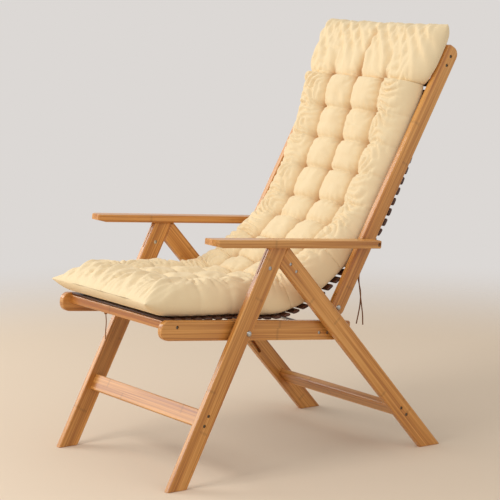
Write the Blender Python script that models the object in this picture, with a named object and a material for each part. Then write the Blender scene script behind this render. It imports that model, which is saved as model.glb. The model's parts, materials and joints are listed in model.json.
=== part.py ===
"""Folding bamboo lounger: crossed legs, a reclining back, a slung mat of slats, armrests and a tufted cushion.

Side-plane points are (y, z) pairs in metres. There the front feet stand round y = 0 and the front is at -Y.
The sitter's left is +X. An empty at the top of the tree centres the finished part over the origin.
"""
import math

import bmesh
import bpy
import numpy as np
from mathutils import Vector

# Clearances
GAP = 0.0003
RUNNING_GAP = 0.0006
CUTTER_REACH = 0.003

# Legs: a front leg and a rear leg lie one behind the other in one layer, and side by side when shut
LEG_DEPTH = 0.050
LEG_THICKNESS = 0.018
LEGS_WIDTH = 0.560
FRONT_LEG_LEAN = 27.76
REAR_LEG_LEAN = -40.85
LEG_PIVOT_REACH = 0.600
SHUT_LEG_GAP = 0.0011
FRONT_STRETCHER_REACH = 0.187
REAR_STRETCHER_REACH = 0.141
BOARD_DEPTH = 0.044
BOARD_THICKNESS = 0.018
BOARD_ROUNDING = 0.003
EDGE_ROUNDING = 0.0018

# Steel hinge plates in saw kerfs
PLATE_THICKNESS = 0.0025
PLATE_SIDE_GAP = 0.0003
PLATE_EYE_RADIUS = 0.013
PLATE_END_RADIUS = 0.011
PLATE_HEEL_RISE = 0.004
PLATE_CORNER_ROUNDING = 0.010
PLATE_INNER_ROUNDING = 0.004
LEG_PLATE_SCREW_DROP = 0.038
LEG_KERF_FRONT_DROP = 0.026
LEG_KERF_REAR_DROP = 0.052
KERF_END_MARGIN = 0.004

# Seat frame
RAIL_THICKNESS = 0.018
FRAME_GAP = 0.009
SEAT_RAIL_DEPTH = 0.050
SEAT_LEAN = -83.9
SEAT_PIVOT_BELOW_LEG_PIVOT = 0.171
SEAT_PIVOT_BACK = 0.0165
SEAT_PIVOT_DROP = 0.0036
SEAT_NOSE_REACH = 0.242
SEAT_TAIL_REACH = 0.339
SEAT_NOSE_ROUNDING = 0.022
SEAT_TAIL_ROUNDING = 0.008
FRONT_BAR_REACH = 0.1964
FRONT_BAR_RISE = 0.0086
FRONT_BAR_DEPTH = 0.046
FRONT_BAR_HEIGHT = 0.022
ROD_RADIUS = 0.004
ROD_REACH = 0.3153
ROD_DROP = 0.0081
ROD_END_GAP = 0.001
GROOVE_DEPTH = 0.010
BACK_PIVOT_REACH = 0.294
HINGE_SPACE = 0.013
BACK_PLATE_SCREW_SETBACK = 0.0542
BACK_PLATE_SCREW_DROP = 0.006

# Back frame
BACK_RAIL_DEPTH = 0.042
BACK_LEAN = 30.0
BACK_RAIL_REACH = 0.761
BACK_END_ROUNDING = 0.0205
BACK_TOP_REAR_ROUNDING = 0.022
BACK_TOP_FRONT_ROUNDING = 0.008
HEAD_BAR_REACH = 0.7205
BACK_KERF_REAR_RISE = 0.016
BACK_KERF_FRONT_RISE = 0.034

# Armrests
ARM_PIVOT_REACH = 0.1876
ARM_LEAN = -84.9
ARM_THICKNESS = 0.020
ARM_WIDTH = 0.048
ARM_REACH = 0.511
ARM_TAIL = 0.010
ARM_WASHER = 0.003
ARM_CHAMFER = 0.013
ARM_CORNER_ROUNDING = 0.003
ARM_TAIL_ROUNDING = 0.008
ARM_BEVEL_LENGTH = 0.025
ARM_BEVEL_RISE = 0.005

# Bolts and screws
SCREW_SPREAD = 0.0265
SCREW_RADIUS = 0.002
SCREW_TIP_RADIUS = 0.0008
SCREW_TIP_LENGTH = 0.004
SCREW_HEAD_RADIUS = 0.0042
SCREW_HEAD_HEIGHT = 0.0026
SCREW_RECESS = 0.002
BOARD_SCREW_LENGTH = 0.040
PLATE_SCREW_LENGTH = 0.0140
BOLT_RADIUS = 0.003
BARREL_HEAD_RADIUS = 0.005
BARREL_HEAD_HEIGHT = 0.0025
BARREL_RECESS = 0.0015
DOME_RADIUS = 0.0072
DOME_HEIGHT = 0.0048
COLLAR_RADIUS = 0.0075
NUT_RADIUS = 0.0055
NUT_HEIGHT = 0.0036
ARM_BOLT_RECESS = 0.008

# Slung mat of slats
SLAT_PITCH = 0.030
SLAT_WIDTH = 0.0215
SLAT_THICKNESS = 0.007
SLAT_ROUNDING = 0.0032
SLAT_END_GAP = 0.004
SLING_CORD_WIDTH = 0.004
SLING_CORD_THICKNESS = 0.0016
SLING_CORD_PLACES = (-0.185, 0.0, 0.185)
SEAT_SLATS = 13
CREASE_SLATS = 9
SLING_LOW_REACH = 0.147
SLING_LOW_RISE = 0.0345
# Places of the sling seen from the back rail: reach from its lower pivot, and distance in front of its centre
SLING_BACK_PLACES = ((-0.010, 0.059), (0.050, 0.027), (0.130, -0.009), (0.223, -0.041), (0.345, -0.043),
                     (0.4625, -0.034), (0.600, -0.004))
SLING_STRAIGHT_LEAD = 0.035

# Cushion
CUSHION_SIDE_GAP = 0.005
CUSHION_LOFT = 0.086
CUSHION_TUFT_LOFT = 0.060
CUSHION_SEAM_SHARE = 0.26
CUSHION_OVERHANG = 0.052
CUSHION_LIFT = 0.0008
CUSHION_PUFFS_ACROSS = 4
SEAT_PUFFS = 5
BACK_PUFFS = 6.6
CUSHION_TOP_REACH = 0.640
PILLOW_LOFT = 0.074
PILLOW_LIFT = 0.003
PILLOW_SIDE_OVERHANG = 0.002
PILLOW_HEIGHT = 0.160
PILLOW_PUFFS = 1
END_CLOSING = 0.42
END_ROUNDING = 0.030

# Ribbon ties: one round the end of a slat behind the near back rail, one round the far seat rail.
# Routes run down from the knot as (rearward, upward) steps
TIE_WIDTH = 0.005
TIE_SPREAD = 0.003
TIE_BAND_WIDTH = 0.008
TIE_BAND_THICKNESS = 0.001
KNOT_RADIUS = 0.005
KNOT_SHARE_OUTSIDE = 0.85
REAR_TIE_SLAT = 21
REAR_TIE_INSET = 0.014
FRONT_TIE_REACH = 0.102
REAR_TIE_ROUTES = (((0.0, 0.0), (-0.001, -0.020), (-0.003, -0.041), (0.005, -0.080), (0.004, -0.114),
                    (-0.002, -0.142), (-0.008, -0.165)),
                   ((0.0, 0.0), (-0.003, -0.020), (-0.005, -0.041), (-0.001, -0.080), (0.004, -0.114),
                    (0.008, -0.142), (0.009, -0.169)))
FRONT_TIE_ROUTE = ((0.0, 0.0), (0.001, -0.020), (-0.001, -0.042), (-0.002, -0.066))
TIE_POINT_SPACING = 0.012

# Motion of the folding frame, in degrees, and the seat's turn on the front legs for each degree of theirs
FOLD_RANGE = 67.0
SEAT_TURN_RATIO = -1.5635
GROOVE_STEPS = 12

ROUND_SEGMENTS = 16
SCREW_SEGMENTS = 10
ARC_STEPS = 5
DOME_STEPS = 3


def leaning(degrees):
    """Unit vector in the side plane, leaning rearwards from straight up."""
    angle = math.radians(degrees)
    return Vector((math.sin(angle), math.cos(angle)))


def turned_about(point, centre, degrees):
    """The point turned about the centre in the side plane, counterclockwise from +Y to +Z."""
    angle = math.radians(degrees)
    arm = point - centre
    return centre + Vector((arm.x * math.cos(angle) - arm.y * math.sin(angle),
                            arm.x * math.sin(angle) + arm.y * math.cos(angle)))


class Line:
    """A centre line in the side plane; offsets are positive to the left of its direction."""

    def __init__(self, start, lean):
        self.start = Vector(start)
        self.along = leaning(lean)
        self.across = Vector((-self.along.y, self.along.x))

    def at(self, reach, offset=0.0):
        """The point that lies reach along the line and offset to its left."""
        return self.start + self.along * reach + self.across * offset

    def reach_of(self, point):
        """How far along the line a point lies."""
        return (point - self.start).dot(self.along)

    def bar(self, low, high, half_depth, centre=0.0):
        """Outline of a straight bar along the line."""
        return [self.at(low, centre - half_depth), self.at(high, centre - half_depth),
                self.at(high, centre + half_depth), self.at(low, centre + half_depth)]


# Centre lines and pivots of the folding frame, each placed from the one before
front_leg = Line((0.0, 0.0), FRONT_LEG_LEAN)
leg_pivot = front_leg.at(LEG_PIVOT_REACH)
rear_leg = Line(leg_pivot, REAR_LEG_LEAN)
rear_leg.start = rear_leg.at(0.0, -(LEG_DEPTH + SHUT_LEG_GAP))
rear_leg.start = rear_leg.at(-rear_leg.start.y / rear_leg.along.y)
seat_pivot = front_leg.at(LEG_PIVOT_REACH - SEAT_PIVOT_BELOW_LEG_PIVOT, -SEAT_PIVOT_BACK)
seat_rail = Line(seat_pivot, SEAT_LEAN)
seat_rail.start = seat_rail.at(0.0, -SEAT_PIVOT_DROP)
rod_place = seat_rail.at(-ROD_REACH, ROD_DROP)
back_pivot = seat_rail.at(-BACK_PIVOT_REACH, -(SEAT_RAIL_DEPTH / 2 + HINGE_SPACE + BACK_RAIL_DEPTH / 2))
back_rail = Line(back_pivot, BACK_LEAN)
arm_pivot = back_rail.at(ARM_PIVOT_REACH)
armrest = Line(arm_pivot, ARM_LEAN)

# Layers out from the middle plane
LEG_OUTSIDE = LEGS_WIDTH / 2
LEG_INSIDE = LEG_OUTSIDE - LEG_THICKNESS
LEG_MIDDLE = (LEG_OUTSIDE + LEG_INSIDE) / 2
RAIL_OUTSIDE = LEG_INSIDE - FRAME_GAP
RAIL_INSIDE = RAIL_OUTSIDE - RAIL_THICKNESS
RAIL_MIDDLE = (RAIL_OUTSIDE + RAIL_INSIDE) / 2
ARM_INSIDE = RAIL_OUTSIDE + ARM_WASHER
ARM_OUTSIDE = ARM_INSIDE + ARM_WIDTH
KERF_WIDTH = PLATE_THICKNESS + 2 * PLATE_SIDE_GAP
CUSHION_HALF_WIDTH = RAIL_INSIDE - CUSHION_SIDE_GAP
REAR_TIE_PLACE = RAIL_INSIDE - REAR_TIE_INSET
PILLOW_HALF_WIDTH = RAIL_OUTSIDE + PILLOW_SIDE_OVERHANG
SIDES = (("left", 1), ("right", -1))


def finish(name, colour, roughness, metallic=0.0):
    """A material with one Principled shader."""
    material = bpy.data.materials.new(name)
    material.use_nodes = True
    shader = material.node_tree.nodes["Principled BSDF"]
    shader.inputs["Base Color"].default_value = (*colour, 1.0)
    shader.inputs["Roughness"].default_value = roughness
    shader.inputs["Metallic"].default_value = metallic
    material.diffuse_color = (*colour, 1.0)
    return material


# Shapes are (vertices, faces) pairs in the side plane's own frame

def clipped(outline, point, outward):
    """The convex outline without what lies beyond the line through point, on its outward side."""
    kept = []
    for here, following in zip(outline, outline[1:] + outline[:1]):
        here_out = (here - point).dot(outward)
        next_out = (following - point).dot(outward)
        if here_out <= 0:
            kept.append(here)
        if here_out * next_out < 0:
            kept.append(here.lerp(following, here_out / (here_out - next_out)))
    return kept


def rounded(outline, radii, steps=ARC_STEPS):
    """The outline with an arc in place of each corner that has a radius."""
    result = []
    for index, (corner, radius) in enumerate(zip(outline, radii)):
        if radius <= 0:
            result.append(corner)
            continue
        before = (outline[index - 1] - corner).normalized()
        after = (outline[(index + 1) % len(outline)] - corner).normalized()
        half_angle = before.angle(after) / 2
        centre = corner + (before + after).normalized() * (radius / math.sin(half_angle))
        first = corner + before * (radius / math.tan(half_angle))
        last = corner + after * (radius / math.tan(half_angle))
        sweep = math.degrees((first - centre).angle(last - centre))
        turning = 1 if (first - centre).x * (last - centre).y > (first - centre).y * (last - centre).x else -1
        result += [turned_about(first, centre, turning * sweep * step / steps) for step in range(steps + 1)]
    return result


def circle(centre, radius, count=ROUND_SEGMENTS):
    """Points round a circle in the side plane."""
    return [centre + leaning(360 * index / count) * radius for index in range(count)]


def hull(points):
    """The convex outline round the points."""
    ordered = sorted(points, key=lambda point: (point.x, point.y))

    def half(sequence):
        chain = []
        for point in sequence:
            while len(chain) > 1 and (chain[-1] - chain[-2]).cross(point - chain[-2]) <= 1e-12:
                chain.pop()
            chain.append(point)
        return chain[:-1]

    return half(ordered) + half(reversed(ordered))


def ring_faces(rings, count):
    """Faces of a closed skin over rings of equal count, with a cap at each end."""
    faces = [tuple(range(count)), tuple(range((rings - 1) * count, rings * count))[::-1]]
    for ring in range(rings - 1):
        for index in range(count):
            following = (index + 1) % count
            faces.append((ring * count + index, (ring + 1) * count + index,
                          (ring + 1) * count + following, ring * count + following))
    return faces


def prism(outline, low, high):
    """An outline in the side plane carried from x = low to x = high."""
    vertices = [(x, point.x, point.y) for x in (low, high) for point in outline]
    return vertices, ring_faces(2, len(outline))


def slab(outline, line, low, high):
    """An outline of (x, reach) points on a line, carried from offset low to offset high."""
    vertices = []
    for offset in (low, high):
        for x, reach in outline:
            point = line.at(reach, offset)
            vertices.append((x, point.x, point.y))
    return vertices, ring_faces(2, len(outline))


def turned(profile, place, side=1, count=ROUND_SEGMENTS):
    """A profile of (x, radius) points turned about the x direction through place."""
    vertices = []
    for x, radius in profile:
        vertices += [(x * side, point.x, point.y) for point in circle(place, radius, count)]
    return vertices, ring_faces(len(profile), count)


def joined(shapes):
    """Several shapes as one."""
    vertices = []
    faces = []
    for shape_vertices, shape_faces in shapes:
        faces += [tuple(index + len(vertices) for index in face) for face in shape_faces]
        vertices += shape_vertices
    return vertices, faces


class Group:
    """An empty on a joint axis that carries the pieces of one moving body."""

    def __init__(self, name, place, parent=None):
        self.place = Vector((0.0, place[0], place[1]))
        self.empty = bpy.data.objects.new(name, None)
        bpy.context.collection.objects.link(self.empty)
        self.empty.location = self.place
        if parent is not None:
            self.empty.parent = parent.empty
            self.empty.location = self.place - parent.place

    def hang(self, item):
        """Parent an object to the empty, with its origin on the joint axis."""
        bpy.context.collection.objects.link(item)
        item.parent = self.empty
        return item

    def piece(self, name, shape, material=None, easing=0.0, smooth=False):
        """Add a solid; easing is the width of its eased edges."""
        vertices, faces = shape
        mesh = bpy.data.meshes.new(name)
        mesh.from_pydata([Vector(vertex) - self.place for vertex in vertices], [], faces)
        work = bmesh.new()
        work.from_mesh(mesh)
        bmesh.ops.recalc_face_normals(work, faces=work.faces)
        work.to_mesh(mesh)
        work.free()
        if smooth:
            mesh.shade_smooth()
            mesh.set_sharp_from_angle(angle=math.radians(40))
        item = self.hang(bpy.data.objects.new(name, mesh))
        if material:
            mesh.materials.append(material)
        if easing:
            bevel = item.modifiers.new("eased_edges", "BEVEL")
            bevel.width = easing
            bevel.segments = 1
            bevel.limit_method = "ANGLE"
            bevel.angle_limit = math.radians(50)
        return item

    def cutter(self, name, shape):
        """Add a guide solid that other pieces are cut with or joined to."""
        item = self.piece(name, shape)
        item.hide_render = True
        item.display_type = "WIRE"
        return item

    def cord(self, name, points, x, width, material):
        """Add a tube that follows side-plane points at one x."""
        curve = bpy.data.curves.new(name, "CURVE")
        curve.dimensions = "3D"
        curve.bevel_depth = width / 2
        curve.bevel_resolution = 2
        curve.use_fill_caps = True
        spline = curve.splines.new("POLY")
        spline.points.add(len(points) - 1)
        for target, point in zip(spline.points, points):
            target.co = (x, point[0] - self.place.y, point[1] - self.place.z, 1.0)
        curve.materials.append(material)
        return self.hang(bpy.data.objects.new(name, curve))


def combine(item, tool, operation="DIFFERENCE"):
    """Cut or join an object with another by an exact Boolean modifier."""
    modifier = item.modifiers.new(tool.name, "BOOLEAN")
    modifier.operation = operation
    modifier.solver = "EXACT"
    modifier.object = tool


# Profiles of bolts and screws, outer end first

def screw_profile(face, length):
    """A countersunk screw driven in at a face, its head sunk below it."""
    head = face - SCREW_RECESS
    return [(head, SCREW_HEAD_RADIUS), (head - SCREW_HEAD_HEIGHT, SCREW_RADIUS),
            (head - length + SCREW_TIP_LENGTH, SCREW_RADIUS), (head - length, SCREW_TIP_RADIUS)]


def screw_bore_profile(face, length):
    """The hole for a countersunk screw, wider than it by the gap all round."""
    head = face - SCREW_RECESS
    return [(face + CUTTER_REACH, SCREW_HEAD_RADIUS + GAP), (head - GAP, SCREW_HEAD_RADIUS + GAP),
            (head - SCREW_HEAD_HEIGHT - GAP, SCREW_RADIUS + GAP), (head - length - GAP, SCREW_RADIUS + GAP)]


def dome_profile(base):
    """A low dome on a flat base, from its crown outwards."""
    angles = [math.radians(90 * (DOME_STEPS - step) / (DOME_STEPS + 0.4)) for step in range(DOME_STEPS + 1)]
    return [(base + DOME_HEIGHT * math.sin(angle), DOME_RADIUS * math.cos(angle)) for angle in angles]


def nut_profile(outer):
    """A round nut on the inner face of a rail, with the shank that reaches it."""
    return [(outer, BOLT_RADIUS), (outer, NUT_RADIUS), (outer - NUT_HEIGHT, NUT_RADIUS)]


def collar_profile(outer, inner):
    """A spacing collar on a shank, and the shank up to its outer end."""
    return [(outer, BOLT_RADIUS), (outer, COLLAR_RADIUS), (inner, COLLAR_RADIUS), (inner, BOLT_RADIUS)]


class Sling:
    """The smooth centre line of the slung mat, from the front bar over the crease to the head bar."""

    SAMPLES = 24

    def __init__(self, places):
        places = np.array([tuple(place) for place in places])
        chords = np.concatenate([[0.0], np.cumsum(np.linalg.norm(np.diff(places, axis=0), axis=1))])
        slopes = np.gradient(places, chords, axis=0)
        pieces = []
        for index in range(len(places) - 1):
            span = chords[index + 1] - chords[index]
            t = np.linspace(0.0, 1.0, self.SAMPLES, endpoint=False)[:, None]
            pieces.append((2 * t ** 3 - 3 * t ** 2 + 1) * places[index] + (t ** 3 - 2 * t ** 2 + t) * span * slopes[index]
                          + (3 * t ** 2 - 2 * t ** 3) * places[index + 1] + (t ** 3 - t ** 2) * span * slopes[index + 1])
        self.points = np.vstack(pieces + [places[-1:]])
        self.lengths = np.concatenate([[0.0], np.cumsum(np.linalg.norm(np.diff(self.points, axis=0), axis=1))])

    def at(self, stations):
        """Points, directions and upward normals at lengths along the line."""
        stations = np.atleast_1d(stations)
        place = np.stack([np.interp(stations, self.lengths, self.points[:, axis]) for axis in (0, 1)], axis=1)
        ahead = np.stack([np.interp(stations + 0.003, self.lengths, self.points[:, axis]) for axis in (0, 1)], axis=1)
        behind = np.stack([np.interp(stations - 0.003, self.lengths, self.points[:, axis]) for axis in (0, 1)], axis=1)
        direction = ahead - behind
        direction /= np.linalg.norm(direction, axis=1)[:, None]
        return place, direction, np.stack([-direction[:, 1], direction[:, 0]], axis=1)

    def station_of(self, point):
        """The length along the line at the place nearest to a point."""
        return float(self.lengths[np.argmin(np.linalg.norm(self.points - np.array(tuple(point)), axis=1))])


def slat(sling, station):
    """One flat slat with rounded edges, across the sling."""
    place, direction, normal = (Vector(row[0]) for row in sling.at(station))
    corners = [place + direction * (SLAT_WIDTH / 2 * a) + normal * (SLAT_THICKNESS / 2 * b)
               for a, b in ((-1, -1), (1, -1), (1, 1), (-1, 1))]
    reach = RAIL_INSIDE - SLAT_END_GAP
    return prism(rounded(corners, [SLAT_ROUNDING] * 4, steps=1), -reach, reach)


def sling_cord(sling, first, last, x):
    """A flat cord along the sling between two stations."""
    stations = np.linspace(first, last, max(2, round((last - first) / SLAT_PITCH) + 1))
    place, _, normal = sling.at(stations)
    upper = place + normal * SLING_CORD_THICKNESS / 2
    lower = place - normal * SLING_CORD_THICKNESS / 2
    outline = [Vector(row) for row in upper] + [Vector(row) for row in lower[::-1]]
    return prism(outline, x - SLING_CORD_WIDTH / 2, x + SLING_CORD_WIDTH / 2)


def mat(group, name, sling, stations, first, last, material):
    """A run of slats on their cords, joined into one body."""
    item = group.piece(name, joined([slat(sling, station) for station in stations]), material)
    cords = joined([sling_cord(sling, first, last, x) for x in SLING_CORD_PLACES])
    combine(item, group.cutter(name + "_cords", cords), "UNION")


def cushion(sling, start, end, puffs, loft, half_width, lift):
    """A tufted pad on the sling: a crowned top with sewn valleys, drawn-in sides and closed ends.

    Its underside lies lift above the slats. Its height is a seam height plus a crown, which falls off as |u|^5
    towards the sides and on a quarter circle at the ends; the crown dips to the tuft height where the sewn
    lines cross. The rows of puffs are counted from its rear or upper end.
    """
    inner = np.linspace(start + END_ROUNDING, end - END_ROUNDING, round(puffs * 4) + 1)
    rims = np.array([0.0, 0.3, 0.65]) * END_ROUNDING
    stations = np.concatenate([start + rims, inner, end - rims[::-1]])
    edge = np.minimum(stations - start, end - stations) / END_ROUNDING
    closing = END_CLOSING + (1 - END_CLOSING) * np.sqrt(1 - (1 - np.clip(edge, 0, 1)) ** 2)
    across = np.linspace(-1, 1, CUSHION_PUFFS_ACROSS * 5 + 1)
    across = np.concatenate([[-1, -0.965], across[1:-1], [0.965, 1]])
    below = across[1:-1:2][::-1]

    def heights(u, top):
        share = (end - stations) / (end - start)
        puff = (np.abs(np.sin(math.pi * CUSHION_PUFFS_ACROSS * (u[None, :] + 1) / 2)) ** 0.6,
                np.abs(np.sin(math.pi * puffs * share[:, None])) ** 0.6)
        fullness = 0.55 * puff[0] * puff[1] + 0.225 * (puff[0] + puff[1])
        tuft = CUSHION_TUFT_LOFT * loft / CUSHION_LOFT
        seam = CUSHION_SEAM_SHARE * loft
        if top:
            side = (1 - np.abs(u) ** 5) ** 0.45
            return seam + (tuft + (loft - tuft) * fullness - seam) * side[None, :] * closing[:, None]
        side = (1 - np.abs(u) ** 9) ** 0.33
        return seam * (1 - side[None, :] * closing[:, None])

    loop = np.concatenate([across, below])
    height = np.hstack([heights(across, True), heights(below, False)])
    place, _, normal = sling.at(stations)
    points = place[:, None, :] + normal[:, None, :] * (height + SLAT_THICKNESS / 2 + lift)[:, :, None]
    x = np.broadcast_to(loop[None, :, None] * half_width, points.shape[:2] + (1,))
    vertices = [tuple(row) for row in np.concatenate([x, points], axis=2).reshape(-1, 3)]
    return vertices, ring_faces(len(stations), len(loop))


def build_legs(base, front, bamboo, steel):
    """Both pairs of legs, their stretchers and screws, and the plate hinges at the top of the cross."""
    underside = armrest.at(0.0, ARM_THICKNESS / 2 + GAP)
    tip = front_leg.reach_of(leg_pivot) + 2 * LEG_DEPTH
    ground = Vector((0.0, 0.0))
    down = Vector((0.0, -1.0))
    upward = -armrest.across
    front_outline = clipped(front_leg.bar(-LEG_DEPTH, tip, LEG_DEPTH / 2), ground, down)
    front_outline = clipped(front_outline, underside, upward)
    pivot_reach = rear_leg.reach_of(leg_pivot)
    rear_outline = clipped(rear_leg.bar(-LEG_DEPTH, pivot_reach + 2 * LEG_DEPTH, LEG_DEPTH / 2), ground, down)
    rear_outline = clipped(rear_outline, underside, upward)
    stop = front_leg.at(0.0, -(LEG_DEPTH / 2 + GAP))
    rear_outline = clipped(rear_outline, stop, front_leg.across)

    upper_screw = rear_leg.at(pivot_reach - LEG_PLATE_SCREW_DROP)
    lower_screw = rear_leg.at(pivot_reach - LEG_PLATE_SCREW_DROP - SCREW_SPREAD)
    plate_foot = rear_leg.reach_of(lower_screw) - PLATE_END_RADIUS
    eye_low, eye_high = pivot_reach - PLATE_EYE_RADIUS, pivot_reach + PLATE_EYE_RADIUS
    eye_front = LEG_DEPTH + SHUT_LEG_GAP + PLATE_EYE_RADIUS
    plate = rounded([rear_leg.at(plate_foot, -PLATE_END_RADIUS), rear_leg.at(plate_foot, PLATE_END_RADIUS),
                     rear_leg.at(eye_low, PLATE_END_RADIUS), rear_leg.at(eye_low, eye_front),
                     rear_leg.at(eye_high, eye_front), rear_leg.at(pivot_reach + PLATE_HEEL_RISE, -PLATE_END_RADIUS)],
                    [PLATE_CORNER_ROUNDING, PLATE_CORNER_ROUNDING, PLATE_INNER_ROUNDING, PLATE_CORNER_ROUNDING,
                     PLATE_CORNER_ROUNDING, PLATE_CORNER_ROUNDING])
    wide = LEG_DEPTH
    front_kerf = [front_leg.at(LEG_PIVOT_REACH - LEG_KERF_FRONT_DROP, wide / 2), front_leg.at(tip, wide),
                  front_leg.at(tip, -wide), front_leg.at(LEG_PIVOT_REACH - LEG_KERF_REAR_DROP, -wide / 2)]
    front_kerf[0] = front_kerf[0] + (front_kerf[0] - front_kerf[3]) * 0.2
    front_kerf[3] = front_kerf[3] + (front_kerf[3] - front_kerf[0]) * 0.2
    kerf_foot = plate_foot - KERF_END_MARGIN
    rear_kerf = rear_leg.bar(kerf_foot, pivot_reach + 2 * LEG_DEPTH, wide)

    path = groove_path()
    barrel = [(LEG_OUTSIDE - BARREL_RECESS, BARREL_HEAD_RADIUS),
              (LEG_OUTSIDE - BARREL_RECESS - BARREL_HEAD_HEIGHT, BARREL_HEAD_RADIUS),
              (LEG_OUTSIDE - BARREL_RECESS - BARREL_HEAD_HEIGHT, BOLT_RADIUS),
              (LEG_INSIDE + BARREL_RECESS + BARREL_HEAD_HEIGHT, BOLT_RADIUS),
              (LEG_INSIDE + BARREL_RECESS + BARREL_HEAD_HEIGHT, BARREL_HEAD_RADIUS),
              (LEG_INSIDE + BARREL_RECESS, BARREL_HEAD_RADIUS)]
    barrel_bore = [(LEG_OUTSIDE + CUTTER_REACH, BARREL_HEAD_RADIUS + GAP),
                   (barrel[1][0] - GAP, BARREL_HEAD_RADIUS + GAP), (barrel[2][0] - GAP, BOLT_RADIUS + GAP),
                   (barrel[3][0] + GAP, BOLT_RADIUS + GAP), (barrel[4][0] + GAP, BARREL_HEAD_RADIUS + GAP),
                   (LEG_INSIDE - CUTTER_REACH, BARREL_HEAD_RADIUS + GAP)]

    inner_reach = LEG_INSIDE - GAP
    stretchers = []
    for group, name, line, reach in ((front, "front_stretcher", front_leg, FRONT_STRETCHER_REACH),
                                     (base, "rear_stretcher", rear_leg, REAR_STRETCHER_REACH)):
        board = rounded(line.bar(reach - BOARD_DEPTH / 2, reach + BOARD_DEPTH / 2, BOARD_THICKNESS / 2),
                        [BOARD_ROUNDING] * 4, steps=2)
        stretchers.append(group.piece(name, prism(board, -inner_reach, inner_reach), bamboo))

    for word, side in SIDES:
        outer, inner = LEG_OUTSIDE * side, LEG_INSIDE * side
        front_item = front.piece("front_leg_" + word, prism(front_outline, inner, outer), bamboo, EDGE_ROUNDING)
        rear_item = base.piece("rear_leg_" + word, prism(rear_outline, inner, outer), bamboo, EDGE_ROUNDING)
        kerf_low, kerf_high = (LEG_MIDDLE * side - KERF_WIDTH / 2, LEG_MIDDLE * side + KERF_WIDTH / 2)
        combine(front_item, front.cutter("front_kerf_" + word, prism(front_kerf, kerf_low, kerf_high)))
        combine(rear_item, base.cutter("rear_kerf_" + word, prism(rear_kerf, kerf_low, kerf_high)))
        combine(rear_item, base.cutter("groove_" + word, prism(path, (LEG_INSIDE - CUTTER_REACH) * side,
                                                               (LEG_INSIDE + GROOVE_DEPTH) * side)))
        plate_low = LEG_MIDDLE * side - PLATE_THICKNESS / 2
        plate_item = base.piece("leg_hinge_plate_" + word, prism(plate, plate_low, plate_low + PLATE_THICKNESS), steel)
        bolt_bore = front.cutter("leg_bolt_bore_" + word, turned(barrel_bore, leg_pivot, side))
        front.piece("leg_hinge_bolt_" + word, turned(barrel, leg_pivot, side), steel, smooth=True)
        combine(front_item, bolt_bore)
        combine(plate_item, bolt_bore)
        for place_word, place in (("upper", upper_screw), ("lower", lower_screw)):
            screw(base, f"leg_plate_screw_{place_word}_{word}", place, LEG_OUTSIDE, PLATE_SCREW_LENGTH, side, steel,
                  (rear_item, plate_item))
        for group, item, board, line, reach, end in (
                (front, front_item, stretchers[0], front_leg, FRONT_STRETCHER_REACH, "front"),
                (base, rear_item, stretchers[1], rear_leg, REAR_STRETCHER_REACH, "rear")):
            for place_word, step in (("upper", SCREW_SPREAD / 2), ("lower", -SCREW_SPREAD / 2)):
                screw(group, f"{end}_stretcher_screw_{place_word}_{word}", line.at(reach + step), LEG_OUTSIDE,
                      BOARD_SCREW_LENGTH, side, steel, (item, board))
        yield word, front_item


def screw(group, name, place, face, length, side, material, items):
    """A wood screw with its hole in every piece that it goes through."""
    bore = group.cutter(name + "_bore", turned(screw_bore_profile(face, length), place, side, SCREW_SEGMENTS))
    for item in items:
        combine(item, bore)
    group.piece(name, turned(screw_profile(face, length), place, side, SCREW_SEGMENTS), material, smooth=True)


def groove_path():
    """Outline of the groove that the rod's end runs in while the legs fold."""
    centres = []
    for step in range(GROOVE_STEPS + 1):
        fold = FOLD_RANGE * step / GROOVE_STEPS
        centres.append(turned_about(turned_about(rod_place, seat_pivot, SEAT_TURN_RATIO * fold), leg_pivot, fold))
    half_width = ROD_RADIUS + RUNNING_GAP
    ways = [(centres[min(index + 1, GROOVE_STEPS)] - centres[max(index - 1, 0)]).normalized()
            for index in range(GROOVE_STEPS + 1)]
    normals = [Vector((-way.y, way.x)) * half_width for way in ways]
    one_side = [centre + normal for centre, normal in zip(centres, normals)]
    other_side = [centre - normal for centre, normal in zip(centres, normals)]
    far_end = [turned_about(one_side[-1], centres[-1], -180 * step / ARC_STEPS) for step in range(1, ARC_STEPS)]
    near_end = [turned_about(other_side[0], centres[0], -180 * step / ARC_STEPS) for step in range(1, ARC_STEPS)]
    return one_side + far_end + other_side[::-1] + near_end


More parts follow.
